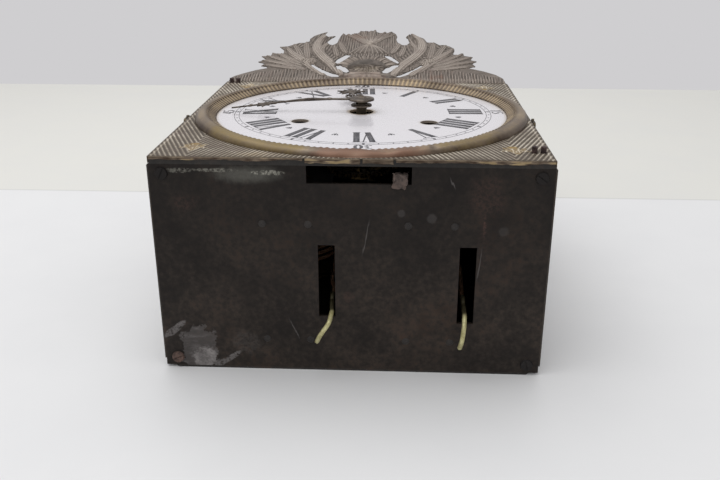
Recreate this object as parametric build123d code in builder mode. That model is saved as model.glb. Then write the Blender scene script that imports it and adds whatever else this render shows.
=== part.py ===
from build123d import *

import os
from math import atan2, cos, degrees, hypot, radians, sin, sqrt, tan

# Comtoise clock: an iron cage with two weight-driven trains, an enamel dial and an embossed brass front.
# It lies on its back. The origin is the middle of the back sheet's outer face, +Z comes out of the dial,
# +Y points to twelve o'clock and the crest, and +X points to three o'clock. Sizes are in millimetres.

# Cage
case_width = 250.0
case_height = 248.0
plate_thickness = 2.5
plate_front_z = 143.0
back_thickness = 1.5
back_inset = 6.0
pillar_size = 12.0
pillar_inset = 2.0
screw_radius = 2.0
screw_reach = 6.0
screw_head_radius = 4.2
screw_head_height = 1.2
screw_slot_width = 0.8
screw_slot_depth = 0.5
fit_gap = 0.02
pivot_gap = 0.05

# Openings in the bottom plate
notch_left_x = -27.0
notch_right_x = 38.0
notch_rear_z = 131.6
slot_width = 10.8
slot_front_z = 90.8
slot_rear_z = {"going": 37.0, "strike": 40.4}
slot_offset = {"going": -1.3, "strike": 0.7}

# Dial, dial board and brass front
board_thickness = 4.0
board_side_gap = 0.8
dial_seat_width = 10.5
dial_x = 1.5
dial_overlap = 3.0
dial_rim_thickness = 1.4
dial_dome = 0.7
centre_hole_radius = 9.0
winding_hole_radius = 6.2
sheet = 0.8
ring_side_gap = 2.5
ring_end_gap = 1.5
ring_crown_inset = 4.5
ring_roll_width = 10.0
ring_slope_width = 5.0
ring_lip_lift = 2.5
ring_edge_lift = 5.6
ring_crown_lift = 6.8
crest_lean = 13.0
surround_pin_radius = 1.8
surround_pin_stand = 4.0
surround_pin_spacing = 5.6
surround_pin_depth = 2.5
upper_pin_drop = 5.0
lower_pin_rise = 19.0
crest_side_gap = 3.0

# Arbor places, seen from the front
going_x = 51.0
strike_x = -41.0
barrel_y = -32.0
escape_x = 5.5
escape_y = 62.0
anchor_rise = 30.0

# Train bars and cocks
bar_width = 46.0
bar_thickness = 5.0
rear_bar_z = 20.6
front_bar_z = 102.2
tenon_radius = 2.3
tenon_spacing = 29.0
bush_wall = 2.6
pivot_radius = 1.5
small_arbor_radius = 2.0
shoulder_gap = 0.5
cock_width = 14.0
cock_drop = 12.0
suspension_z = 137.0
suspension_height = 8.0
suspension_slit = 1.0

# Barrels
drum_radius = 23.5
drum_wall = 1.5
drum_rear_z = 38.5
drum_front_z = 88.5
flange_radius = 28.0
flange_thickness = 1.5
barrel_arbor_radius = 4.0
winding_square = 5.6
winding_square_rear_z = 120.0
winding_square_front_z = 145.0
ratchet_teeth = 24
ratchet_radius = 15.0
ratchet_depth = 1.6
ratchet_thickness = 2.6
click_gap = 0.4
click_thickness = 2.0
click_spring_thickness = 0.6

# Cords and hooks
cord_radius = 1.5
cord_lift = 0.05
cord_turns = 8
cord_pitch = 4.6
cord_first_z = 84.0
hook_wire_radius = 1.5
hook_eye_radius = 3.2

# Toothed wheels
great_teeth = 96
second_teeth = 64
third_teeth = 60
escape_teeth = 30
pinion_leaves = 8
motion_teeth = 60
minute_leaves = 12
reverser_teeth = 36
reverser_leaves = 10
hour_teeth = 40
great_module = 0.85
second_module = {"going": 1.0, "strike": 0.8}
third_module = {"going": 1.0, "strike": 0.75}
reverser_module = 1.25
wheel_thickness = 2.5
great_wheel_z = 94.0
second_wheel_z = 30.0
third_wheel_z = 86.0
escape_wheel_z = 97.0
escape_wheel_thickness = 2.0
motion_wheel_z = 110.4
reverser_wheel_z = 113.6
hour_wheel_z = 117.6
leaf_overhang = 1.5
escape_radius = 20.0
escape_tooth_depth = 4.0
spoke_width = 4.0

# Anchor, crutch and fly
pallet_clearance = 2.2
anchor_depth = 4.0
anchor_half_angle = 52.0
anchor_thickness = 3.0
crutch_z = 109.0
crutch_thickness = 2.0
crutch_width = 5.0
crutch_length = 47.0
fork_gap = 4.0
fork_front_z = 140.0
fly_radius = 19.0
fly_rear_z = 40.0
fly_front_z = 78.0
fly_thickness = 0.8

# Lifting pins and hammer
lifting_pins = 8
lifting_pin_circle = 20.0
lifting_pin_radius = 1.2
lifting_pin_length = 4.0
hammer_x = -76.0
hammer_y = 20.0
hammer_rod_radius = 2.2
hammer_head_x = -55.0
hammer_head_rise = 21.0
hammer_head_radius = 8.0
hammer_head_length = 16.0
hammer_lift = 12.0
hammer_follow = 1.3
hammer_tail_gap = 0.6

# Bell
bell_x = 5.0
bell_z = 70.0
bell_radius = 47.0
bell_height = 40.0
bell_wall = 2.5
bell_gap = 10.0
bell_post_radius = 3.0

# Hands and motion work
bridge_reach = 8.0
bridge_width = 16.0
bridge_thickness = 2.0
centre_post_radius = 1.9
minute_pipe_wall = 1.0
hour_pipe_wall = 0.9
hour_hand_z = 153.6
minute_hand_z = 158.0
hand_thickness = 1.0
hub_thickness = 1.6
minute_hub_radius = 9.5
hour_hub_radius = 7.8
minute_hand_gap = 9.5
minute_tip_length = 26.0
minute_droop_start = 40.0
minute_droop = 7.4
hour_hand_length = 58.0
hour_hand_turn = 12.0

# Side doors and their turn buttons
door_thickness = 1.0
door_gap = 0.2
door_rear_z = 6.0
door_front_z = 142.0
door_end_gap = 1.0
hinge_offset = 1.2
hinge_z = 4.5
hinge_y = 96.0
knuckle_radius = 2.3
knuckle_length = 13.0
pintle_radius = 1.2
pintle_arm_radius = 1.5
button_y = -12.0
button_radius = 2.9
button_reach = 8.0
button_width = 4.0
button_thickness = 1.6
button_stem_radius = 1.3

# Places that follow from the sizes above
half_width = case_width / 2
half_height = case_height / 2
inner_y = half_height - plate_thickness
ring_outer_radius = min(half_width - ring_side_gap, half_height - ring_end_gap)
ring_crown_radius = ring_outer_radius - ring_crown_inset
ring_edge_radius = ring_outer_radius - ring_roll_width
ring_inner_radius = ring_edge_radius - ring_slope_width
dial_radius = ring_inner_radius + dial_overlap
board_opening_radius = dial_radius - dial_seat_width
minute_hand_length = ring_inner_radius - minute_hand_gap
minute_ornament_reach = minute_hand_length - minute_tip_length
upper_pin_y = half_height - upper_pin_drop
lower_pin_y = lower_pin_rise - half_height
hammer_head_y = half_height + hammer_head_rise
board_front_z = plate_front_z + board_thickness
surround_front_z = board_front_z + sheet
rear_pillar_z = back_thickness + pillar_size / 2
front_pillar_z = plate_front_z - pillar_size / 2
pillar_x = half_width - pillar_inset - pillar_size / 2
pillar_face_x = pillar_x + pillar_size / 2
bar_front_face = front_bar_z + bar_thickness
cord_pitch_radius = drum_radius + cord_radius + cord_lift
cord_last_z = cord_first_z - cord_turns * cord_pitch
leaf_z = great_wheel_z - leaf_overhang
leaf_length = wheel_thickness + 2 * leaf_overhang
second_y = barrel_y + (great_teeth + pinion_leaves) * great_module / 2
reach_second = {train: (second_teeth + pinion_leaves) * second_module[train] / 2 for train in second_module}
reach_third = {train: (third_teeth + pinion_leaves) * third_module[train] / 2 for train in third_module}
motion_module = hypot(going_x - dial_x, second_y) / motion_teeth
reverser_y = -(minute_leaves + reverser_teeth) * reverser_module / 2
hour_module = -2 * reverser_y / (reverser_leaves + hour_teeth)
anchor_y = escape_y + anchor_rise
minute_pipe_bore = centre_post_radius + pivot_gap
minute_pipe_radius = minute_pipe_bore + minute_pipe_wall
hour_pipe_bore = minute_pipe_radius + pivot_gap
hour_pipe_radius = hour_pipe_bore + hour_pipe_wall


def meeting_point(ax, ay, bx, by, reach_a, reach_b):
    """Gives the point at the stated distances from a and b, on the left of the line from a to b."""
    span = hypot(bx - ax, by - ay)
    along = (reach_a**2 - reach_b**2 + span**2) / (2 * span)
    off = sqrt(reach_a**2 - along**2)
    ux, uy = (bx - ax) / span, (by - ay) / span
    return ax + along * ux - off * uy, ay + along * uy + off * ux


def bearing(start, end):
    """Gives the direction from one centre to another in degrees."""
    return degrees(atan2(end[1] - start[1], end[0] - start[0]))


train_x = {"going": going_x, "strike": strike_x}
barrel = {train: (x, barrel_y) for train, x in train_x.items()}
second = {train: (x, second_y) for train, x in train_x.items()}
escape = (escape_x, escape_y)
anchor_axis = (escape_x, anchor_y)
third = {
    "going": meeting_point(escape_x, escape_y, going_x, second_y, reach_third["going"], reach_second["going"]),
    "strike": (strike_x, second_y + reach_second["strike"]),
}
fly_axis = (strike_x, third["strike"][1] + reach_third["strike"])
last = {"going": escape, "strike": fly_axis}
dial_centre = (dial_x, 0.0)
reverser = (dial_x, reverser_y)
hammer_axis = (hammer_x, hammer_y)
crest_plane = Plane(
    origin=(0, half_height, board_front_z),
    x_dir=(1, 0, 0),
    z_dir=(0, -sin(radians(crest_lean)), cos(radians(crest_lean))),
)
bell_axis = Plane(origin=(bell_x, half_height, bell_z), x_dir=(1, 0, 0), z_dir=(0, 1, 0))
side_view = Plane(origin=(dial_x, 0, 0), x_dir=(1, 0, 0), z_dir=(0, -1, 0))

os.makedirs("parts", exist_ok=True)


def save(piece, name):
    """Labels a finished piece and writes it under its name."""
    piece.part.label = name
    export_step(piece.part, f"parts/{name}.step")


def wall_plane(side, y=half_height):
    """Gives the plane at a height y on one side, facing outward, whose own y is the clock's +Z."""
    return Plane(origin=(0, side * y, 0), x_dir=(-side, 0, 0), z_dir=(0, side, 0))


def tooth_outline(teeth, module, first_angle, addendum=1.15, dedendum=1.4, share=0.46):
    """Gives the edges of a toothed outline about the origin, with a tooth centred on first_angle."""
    pitch_radius = teeth * module / 2
    root = pitch_radius - dedendum * module
    shoulder = pitch_radius + 0.55 * addendum * module
    tip = pitch_radius + addendum * module
    half = share * 180 / teeth

    def spot(radius, angle):
        return Vector(radius * cos(radians(angle)), radius * sin(radians(angle)))

    edges = []
    for tooth in range(teeth):
        middle = first_angle + tooth * 360 / teeth
        foot_in = spot(root, middle - half)
        flank_in = spot(pitch_radius, middle - half)
        tip_in = spot(tip, middle - 0.3 * half)
        tip_out = spot(tip, middle + 0.3 * half)
        flank_out = spot(pitch_radius, middle + half)
        foot_out = spot(root, middle + half)
        edges.append(Edge.make_line(foot_in, flank_in))
        edges.append(Edge.make_three_point_arc(flank_in, spot(shoulder, middle - 0.755 * half), tip_in))
        edges.append(Edge.make_line(tip_in, tip_out))
        edges.append(Edge.make_three_point_arc(tip_out, spot(shoulder, middle + 0.755 * half), flank_out))
        edges.append(Edge.make_line(flank_out, foot_out))
        edges.append(Edge.make_line(foot_out, spot(root, middle + 360 / teeth - half)))
    return edges


def pinion_outline(leaves, module, first_angle, addendum=0.6, dedendum=1.5, share=0.34):
    """Gives the edges of a pinion's outline about the origin."""
    return tooth_outline(leaves, module, first_angle, addendum, dedendum, share)


def saw_outline(teeth, radius, depth, lean):
    """Gives the edges of a saw-toothed outline whose steep flanks lean by a share of a tooth."""
    edges = []
    step = radians(360 / teeth)
    for tooth in range(teeth):
        start = tooth * step
        tip = Vector(radius * cos(start), radius * sin(start))
        foot = Vector((radius - depth) * cos(start + lean * step), (radius - depth) * sin(start + lean * step))
        next_tip = Vector(radius * cos(start + step), radius * sin(start + step))
        edges.append(Edge.make_line(tip, foot))
        edges.append(Edge.make_line(foot, next_tip))
    return edges


def add_wheel(centre, z, outline, bore, pitch_radius, rim, spokes=5, thickness=wheel_thickness):
    """Adds a crossed-out wheel, whose rear face is at z, to the piece in hand."""
    with BuildSketch(Plane((centre[0], centre[1], z))) as blank:
        make_face(outline)
        Circle(bore, mode=Mode.SUBTRACT)
    with BuildSketch(Plane((centre[0], centre[1], z))) as windows:
        Circle(pitch_radius - rim)
        Circle(bore + 5, mode=Mode.SUBTRACT)
        with PolarLocations(0, spokes):
            Rectangle(pitch_radius, spoke_width, align=(Align.MIN, Align.CENTER), mode=Mode.SUBTRACT)
    extrude(blank.sketch, amount=thickness)
    extrude(windows.sketch, amount=thickness, mode=Mode.SUBTRACT)


def add_tube(centre, start, end, bore, radius):
    """Adds a tube along +Z to the piece in hand."""
    with BuildSketch(Plane((centre[0], centre[1], start))) as section:
        Circle(radius)
        Circle(bore, mode=Mode.SUBTRACT)
    extrude(section.sketch, amount=end - start)


def turned(centre, steps):
    """Turns the arbor in hand at a centre; each step is a start, an end and a radius."""
    for start, end, radius in steps:
        with BuildSketch(Plane((centre[0], centre[1], start))) as section:
            Circle(radius)
        extrude(section.sketch, amount=end - start)


def cut_leaves(centre, start, length, outline):
    """Adds a pinion to the arbor in hand."""
    with BuildSketch(Plane((centre[0], centre[1], start))) as leaves:
        make_face(outline)
    extrude(leaves.sketch, amount=length)


def bored(centre, start, end, radius):
    """Bores the piece in hand along +Z."""
    with BuildSketch(Plane((centre[0], centre[1], start))) as section:
        Circle(radius)
    extrude(section.sketch, amount=end - start, mode=Mode.SUBTRACT)


def train_steps(front_end=bar_front_face):
    """Gives the steps of an arbor that runs in both bars."""
    return [
        (rear_bar_z, front_end, pivot_radius),
        (rear_bar_z + bar_thickness + shoulder_gap, front_bar_z - shoulder_gap, small_arbor_radius),
    ]


def biarc_path(points, directions):
    """Draws paired arcs through points with given directions, into the line in hand."""
    for start, end, leave, arrive in zip(points, points[1:], directions, directions[1:]):
        span = end - start
        both = leave + arrive
        turn = 2 * (1 - leave.dot(arrive))
        reach = (sqrt(span.dot(both) ** 2 + turn * span.dot(span)) - span.dot(both)) / turn
        inner = start + leave * reach
        outer = end - arrive * reach
        middle = (inner + outer) * 0.5
        TangentArc(start, middle, tangent=leave)
        TangentArc(middle, end, tangent=(outer - inner).normalized())


def wire_sweep(route, radii, wire_radius):
    """Sweeps a round wire along straight runs joined by arcs, and gives its line."""
    with BuildLine() as path:
        FilletPolyline(*route, radius=radii)
    line = path.wire()
    with BuildSketch(Plane(origin=line @ 0, z_dir=line % 0)) as section:
        Circle(wire_radius)
    sweep(section.sketch, path=line)
    return line


def corner_radii(route, share=0.45):
    """Gives for each corner the radius of the largest tangent arc that its shorter run allows."""
    radii = []
    for before, corner, after in zip(route, route[1:], route[2:]):
        arrive = Vector(*corner) - Vector(*before)
        leave = Vector(*after) - Vector(*corner)
        half_turn = radians(arrive.get_angle(leave) / 2)
        radii.append(share * min(arrive.length, leave.length) / tan(half_turn))
    return radii


# Back sheet, on which the clock lies
back_screw_places = [(x, y) for x in (-pillar_x, pillar_x) for y in (-hinge_y, hinge_y)]
with BuildPart() as back_sheet:
    with BuildSketch():
        RectangleRounded(case_width - 2 * back_inset, case_height, 3)
        with Locations(*back_screw_places):
            Circle(screw_radius + fit_gap, mode=Mode.SUBTRACT)
    extrude(amount=back_thickness)
save(back_sheet, "back_sheet")

# Bottom and top plates
corner_places = [(x, z) for x in (-pillar_x, pillar_x) for z in (rear_pillar_z, front_pillar_z)]
bar_places = [
    (x + offset, z + bar_thickness / 2)
    for x in train_x.values()
    for offset in (-tenon_spacing / 2, tenon_spacing / 2)
    for z in (rear_bar_z, front_bar_z)
]
cock_places = [(escape_x, z + bar_thickness / 2) for z in (rear_bar_z, front_bar_z)]
plate_middle_z = (back_thickness + plate_front_z) / 2
plate_depth = plate_front_z - back_thickness

with BuildPart() as bottom_plate:
    with BuildSketch(wall_plane(-1)):
        with Locations((0, plate_middle_z)):
            Rectangle(case_width, plate_depth)
        with Locations(*corner_places):
            Circle(screw_radius + fit_gap, mode=Mode.SUBTRACT)
        with Locations(*bar_places):
            Circle(tenon_radius + fit_gap, mode=Mode.SUBTRACT)
        with Locations((notch_left_x, notch_rear_z)):
            Rectangle(notch_right_x - notch_left_x, plate_front_z - notch_rear_z,
                      align=(Align.MIN, Align.MIN), mode=Mode.SUBTRACT)
        for train, x in train_x.items():
            with Locations((x + cord_pitch_radius + slot_offset[train], slot_rear_z[train])):
                Rectangle(slot_width, slot_front_z - slot_rear_z[train],
                          align=(Align.CENTER, Align.MIN), mode=Mode.SUBTRACT)
    extrude(amount=-plate_thickness)
save(bottom_plate, "bottom_plate")

# The hammer's rod leans from its arbor to its head, and swings in a slot of the top plate
hammer_lean = degrees(atan2(hammer_head_x - hammer_x, hammer_head_y - hammer_y))
rod_at_plate = (half_height - hammer_y) / cos(radians(hammer_lean))
slot_left = hammer_x + rod_at_plate * sin(radians(hammer_lean - hammer_lift)) - 2 * hammer_rod_radius
slot_right = hammer_x + rod_at_plate * sin(radians(hammer_lean + hammer_follow)) + 2 * hammer_rod_radius

with BuildPart() as top_plate:
    with BuildSketch(wall_plane(1)):
        with Locations((0, plate_middle_z)):
            Rectangle(case_width, plate_depth)
        with Locations(*[(-x, z) for x, z in corner_places]):
            Circle(screw_radius + fit_gap, mode=Mode.SUBTRACT)
        with Locations(*[(-x, z) for x, z in bar_places + cock_places]):
            Circle(tenon_radius + fit_gap, mode=Mode.SUBTRACT)
        with Locations((-bell_x, bell_z)):
            Circle(bell_post_radius + fit_gap, mode=Mode.SUBTRACT)
        with Locations((-(slot_left + slot_right) / 2, bell_z)):
            SlotOverall(slot_right - slot_left, 4 * hammer_rod_radius, mode=Mode.SUBTRACT)
    extrude(amount=-plate_thickness)
save(top_plate, "top_plate")

# Corner pillars, tapped at both ends for the plate screws and bored for the pintles
pin_offsets = (-surround_pin_spacing / 2, surround_pin_spacing / 2)
pin_places = [(-pillar_x + offset, upper_pin_y) for offset in pin_offsets]
pin_places += [(pillar_x + offset, lower_pin_y) for offset in pin_offsets]
pintle_arm_places = [
    (side, y - knuckle_length / 2 - pintle_arm_radius - door_gap) for side in (-1, 1) for y in (-hinge_y, hinge_y)
]
pintle_root_depth = pillar_size / 3

with BuildPart() as pillars:
    with Locations(*[(x, 0, z) for x, z in corner_places]):
        Box(pillar_size, 2 * inner_y, pillar_size)
    chamfer(pillars.edges().filter_by(Axis.Y), 0.8)
    for side in (-1, 1):
        with BuildSketch(wall_plane(side, inner_y)):
            with Locations(*corner_places):
                Circle(screw_radius + fit_gap)
        extrude(amount=-screw_reach - shoulder_gap, mode=Mode.SUBTRACT)
    with BuildSketch(Plane.XY.offset(plate_front_z - surround_pin_depth - fit_gap)):
        with Locations(*pin_places):
            Circle(surround_pin_radius + fit_gap)
    extrude(amount=surround_pin_depth + 1, mode=Mode.SUBTRACT)
    with BuildSketch(Plane.XY.offset(back_thickness)):
        with Locations(*back_screw_places):
            Circle(screw_radius + fit_gap)
    extrude(amount=screw_reach, mode=Mode.SUBTRACT)
    for side, y in pintle_arm_places:
        with BuildSketch(Plane(origin=(side * pillar_face_x, y, hinge_z), z_dir=(side, 0, 0))):
            Circle(pintle_arm_radius + fit_gap)
        extrude(amount=-pintle_root_depth, mode=Mode.SUBTRACT)
save(pillars, "pillars")

# Screws of the plates, with round slotted heads, and of the back sheet, set flush
with BuildPart() as plate_screws:
    for side in (-1, 1):
        for number, (x, z) in enumerate(corner_places):
            seat = Plane(wall_plane(side) * Location((-side * x, z, 0), (0, 0, 25 + 40 * number)))
            with BuildSketch(seat):
                Circle(screw_head_radius)
            extrude(amount=screw_head_height, taper=20)
            with BuildSketch(seat):
                Circle(screw_radius)
            extrude(amount=-plate_thickness - screw_reach)
            with BuildSketch(seat.offset(screw_head_height)):
                Rectangle(2 * screw_head_radius, screw_slot_width)
            extrude(amount=-screw_slot_depth, mode=Mode.SUBTRACT)
save(plate_screws, "plate_screws")

with BuildPart() as back_screws:
    with BuildSketch():
        with Locations(*back_screw_places):
            Circle(screw_radius)
    extrude(amount=back_thickness + screw_reach - shoulder_gap)
save(back_screws, "back_screws")

# Upright train bars, whose tenons pass through both plates and end flush, and the cocks beside them
bush_places = [(barrel[train], barrel_arbor_radius) for train in train_x]
bush_places += [(second[train], pivot_radius) for train in train_x]
bush_places += [(third[train], pivot_radius) for train in train_x]
bush_places += [(fly_axis, pivot_radius)]
escapement_places = [(escape, pivot_radius), (anchor_axis, pivot_radius)]
hammer_places = [(hammer_axis, pivot_radius)]
bar_rear_faces = (rear_bar_z, front_bar_z)

with BuildPart() as train_bars:
    with Locations(*[(x, 0, z + bar_thickness / 2) for x in train_x.values() for z in bar_rear_faces]):
        Box(bar_width, 2 * inner_y, bar_thickness)
    with BuildSketch(wall_plane(-1)):
        with Locations(*bar_places):
            Circle(tenon_radius)
    extrude(amount=-case_height)
    for centre, radius in bush_places:
        bored(centre, rear_bar_z, bar_front_face, radius + pivot_gap + bush_wall + fit_gap)
save(train_bars, "train_bars")

with BuildPart() as escapement_cocks:
    cock_foot_y = escape_y - cock_drop
    with Locations(*[(escape_x, cock_foot_y, z) for z in bar_rear_faces]):
        Box(cock_width, inner_y - cock_foot_y, bar_thickness, align=(Align.CENTER, Align.MIN, Align.MIN))
    with BuildSketch(wall_plane(1)):
        with Locations(*[(-x, z) for x, z in cock_places]):
            Circle(tenon_radius)
    extrude(amount=-plate_thickness - screw_reach)
    for centre, radius in escapement_places:
        bored(centre, rear_bar_z, bar_front_face, radius + pivot_gap + bush_wall + fit_gap)
save(escapement_cocks, "escapement_cocks")

bar_left_x = strike_x - bar_width / 2
with BuildPart() as hammer_cocks:
    with Locations(*[(bar_left_x, hammer_y, z) for z in bar_rear_faces]):
        Box(bar_left_x - hammer_x + cock_width / 2, cock_width, bar_thickness,
            align=(Align.MAX, Align.CENTER, Align.MIN))
    bored(hammer_axis, rear_bar_z, bar_front_face, pivot_radius + pivot_gap + bush_wall + fit_gap)
save(hammer_cocks, "hammer_cocks")

with BuildPart() as pivot_bushes:
    for centre, radius in bush_places + escapement_places + hammer_places:
        for z in bar_rear_faces:
            with BuildSketch(Plane((centre[0], centre[1], z))):
                Circle(radius + pivot_gap + bush_wall)
                Circle(radius + pivot_gap, mode=Mode.SUBTRACT)
            extrude(amount=bar_thickness)
save(pivot_bushes, "pivot_bushes")

# Suspension cock under the top plate, with the slit that takes the pendulum's spring
with BuildPart() as suspension_cock:
    with BuildSketch(wall_plane(1, inner_y)):
        with Locations((-escape_x, suspension_z)):
            Rectangle(cock_width, cock_width / 2)
    extrude(amount=-suspension_height)
    with BuildSketch(wall_plane(1, inner_y - suspension_height)):
        with Locations((-escape_x, suspension_z)):
            Rectangle(suspension_slit, cock_width)
    extrude(amount=suspension_height / 2, mode=Mode.SUBTRACT)
save(suspension_cock, "suspension_cock")

# Dial board behind the brass front
board_edge_x = half_width - board_side_gap
button_z = plate_front_z + board_thickness / 2
with BuildPart() as dial_board:
    with BuildSketch(Plane.XY.offset(plate_front_z)):
        Rectangle(2 * board_edge_x, case_height)
        with Locations(dial_centre):
            Circle(board_opening_radius, mode=Mode.SUBTRACT)
        with Locations(*pin_places):
            Circle(surround_pin_radius + fit_gap, mode=Mode.SUBTRACT)
    extrude(amount=board_thickness)
    for side in (-1, 1):
        with BuildSketch(Plane(origin=(side * board_edge_x, button_y, button_z), z_dir=(side, 0, 0))):
            Circle(button_stem_radius + pivot_gap)
        extrude(amount=-4 * button_stem_radius, mode=Mode.SUBTRACT)
save(dial_board, "dial_board")

# Brass front: a sheet with folded sides and a raised hollow ring round the dial
ring_lip_z = board_front_z + ring_lip_lift
ring_edge_z = board_front_z + ring_edge_lift
ring_crown_z = board_front_z + ring_crown_lift
with BuildPart() as dial_surround:
    with BuildSketch(Plane.XY.offset(board_front_z)):
        Rectangle(2 * (board_edge_x + sheet), case_height)
        with Locations(dial_centre):
            Circle(ring_outer_radius - sheet / 2, mode=Mode.SUBTRACT)
        with Locations(*pin_places):
            Circle(surround_pin_radius + fit_gap, mode=Mode.SUBTRACT)
    extrude(amount=sheet)
    for side in (-1, 1):
        with BuildSketch(Plane.XY.offset(surround_front_z)):
            with Locations((side * (board_edge_x + sheet / 2), 0)):
                Rectangle(sheet, case_height)
        extrude(amount=-board_thickness - sheet)
        with BuildSketch(Plane(origin=(side * board_edge_x, button_y, button_z), z_dir=(side, 0, 0))):
            Circle(button_stem_radius + pivot_gap)
        extrude(amount=sheet, mode=Mode.SUBTRACT)
    with BuildSketch(side_view):
        with BuildLine():
            Polyline(
                (ring_outer_radius, surround_front_z),
                (ring_outer_radius, board_front_z),
                (ring_outer_radius - sheet, board_front_z),
            )
            ThreePointArc(
                (ring_outer_radius - sheet, board_front_z),
                (ring_crown_radius, ring_crown_z - sheet),
                (ring_edge_radius + sheet / 2, ring_edge_z - sheet),
            )
            Polyline(
                (ring_edge_radius + sheet / 2, ring_edge_z - sheet),
                (ring_inner_radius + sheet / 2, ring_lip_z - sheet),
                (ring_inner_radius, ring_lip_z - sheet),
                (ring_inner_radius, ring_lip_z),
                (ring_edge_radius, ring_edge_z),
            )
            ThreePointArc(
                (ring_edge_radius, ring_edge_z),
                (ring_crown_radius, ring_crown_z),
                (ring_outer_radius, surround_front_z),
            )
        make_face()
    revolve(axis=Axis((dial_x, 0, 0), (0, 0, 1)))
save(dial_surround, "dial_surround")

with BuildPart() as surround_pins:
    with BuildSketch(Plane.XY.offset(plate_front_z - surround_pin_depth)):
        with Locations(*pin_places):
            Circle(surround_pin_radius)
    extrude(amount=surround_pin_depth + board_thickness + sheet + surround_pin_stand)
save(surround_pins, "surround_pins")

# Enamel dial, slightly domed
dial_rim_z = board_front_z + dial_rim_thickness
dial_crown_z = dial_rim_z + dial_dome
with BuildPart() as dial:
    with BuildSketch(side_view):
        with BuildLine():
            Polyline(
                (centre_hole_radius, dial_crown_z),
                (centre_hole_radius, board_front_z + dial_dome / 2),
                (board_opening_radius, board_front_z),
                (dial_radius, board_front_z),
                (dial_radius, dial_rim_z),
            )
            ThreePointArc(
                (dial_radius, dial_rim_z),
                ((dial_radius + centre_hole_radius) / 2, dial_rim_z + 0.75 * dial_dome),
                (centre_hole_radius, dial_crown_z),
            )
        make_face()
    revolve(axis=Axis((dial_x, 0, 0), (0, 0, 1)))
    for centre in barrel.values():
        bored(centre, board_front_z, dial_crown_z, winding_hole_radius)
save(dial, "dial")

# Crest: a pierced brass sheet that leans forward from the top edge
foot = half_width - crest_side_gap
with BuildPart() as crest:
    with BuildSketch(crest_plane):
        with BuildLine():
            Polyline((0, -1), (foot, -1), (foot, 0), (foot - 2, 8))
            ThreePointArc((foot - 2, 8), (foot - 6, 18), (foot - 13, 25))
            ThreePointArc((foot - 13, 25), (foot - 20, 31), (foot - 28, 33))
            Line((foot - 28, 33), (foot - 27, 38))
            ThreePointArc((foot - 27, 38), (foot - 23, 42), (foot - 22, 47))
            ThreePointArc((foot - 22, 47), (foot - 25, 60), (foot - 34, 70))
            ThreePointArc((foot - 34, 70), (foot - 36, 76), (foot - 40, 80))
            ThreePointArc((foot - 40, 80), (foot - 48, 88), (foot - 59, 92))
            ThreePointArc((foot - 59, 92), (foot - 63, 102), (50, 108))
            ThreePointArc((50, 108), (48, 112), (43, 115))
            ThreePointArc((43, 115), (39, 118), (35, 119))
            ThreePointArc((35, 119), (22, 124), (10, 127))
            ThreePointArc((10, 127), (5, 129), (3, 134))
            Polyline((3, 134), (0, 135), (0, -1))
        make_face()
        for route in (
            ((44, 90), (46, 98), (40, 106), (31, 106), (36, 99), (38, 93)),
            ((55, 41), (57, 33), (46, 22), (30, 12), (22, 12), (30, 18), (42, 29)),
            ((15, 58), (24, 61), (30, 54), (30, 46), (22, 44), (15, 49)),
            ((14, 30), (22, 33), (29, 31), (28, 25), (22, 22), (16, 24)),
        ):
            with BuildLine():
                Polyline(*route, close=True)
            make_face(mode=Mode.SUBTRACT)
        mirror(about=Plane.YZ)
    extrude(amount=sheet)
    split(bisect_by=Plane(origin=(0, half_height, 0), x_dir=(1, 0, 0), z_dir=(0, 1, 0)), keep=Keep.TOP)
save(crest, "crest")

# Bell on its post, open towards the top plate
bell_crown = bell_gap + bell_height
bell_shoulder_radius = 0.45 * bell_radius
bell_shoulder = bell_crown - 0.04 * bell_height
bell_waist_radius = 0.86 * bell_radius
bell_waist = bell_gap + 0.6 * bell_height
with BuildPart() as bell:
    with BuildSketch(Plane(origin=(bell_x, half_height, bell_z), x_dir=(1, 0, 0), z_dir=(0, 0, 1))):
        with BuildLine():
            Line((bell_radius - bell_wall, bell_gap), (bell_radius, bell_gap))
            ThreePointArc(
                (bell_radius, bell_gap),
                (bell_waist_radius, bell_waist),
                (bell_shoulder_radius, bell_shoulder),
            )
            Polyline(
                (bell_shoulder_radius, bell_shoulder),
                (2.2 * bell_post_radius, bell_crown),
                (bell_post_radius + fit_gap, bell_crown),
                (bell_post_radius + fit_gap, bell_crown - bell_wall),
                (2.2 * bell_post_radius, bell_crown - bell_wall),
                (bell_shoulder_radius - bell_wall / 3, bell_shoulder - bell_wall),
            )
            ThreePointArc(
                (bell_shoulder_radius - bell_wall / 3, bell_shoulder - bell_wall),
                (bell_waist_radius - bell_wall, bell_waist - 0.6 * bell_wall),
                (bell_radius - bell_wall, bell_gap),
            )
        make_face()
    revolve(axis=Axis((bell_x, half_height, bell_z), (0, 1, 0)))
save(bell, "bell")

with BuildPart() as bell_post:
    for start, end, radius in (
        (-plate_thickness - bell_post_radius, bell_crown + 2 * bell_post_radius, bell_post_radius),
        (0, bell_post_radius, 2 * bell_post_radius),
        (-plate_thickness - bell_post_radius, -plate_thickness, 2 * bell_post_radius),
        (bell_crown - bell_wall - bell_post_radius, bell_crown - bell_wall, 2 * bell_post_radius),
    ):
        with BuildSketch(bell_axis.offset(start)):
            Circle(radius)
        extrude(amount=end - start)
    with BuildSketch(bell_axis.offset(bell_crown)):
        RegularPolygon(1.9 * bell_post_radius, 4)
    extrude(amount=bell_post_radius)
save(bell_post, "bell_post")

# Barrels: the arbor with its winding square, the hollow drum with its ratchet, and the wound cord
flange_front_z = drum_front_z + flange_thickness
click_z = flange_front_z + (ratchet_thickness - click_thickness) / 2
click_x = ratchet_radius + 6
drum_bore = barrel_arbor_radius + fit_gap
coil_samples = 400


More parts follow.
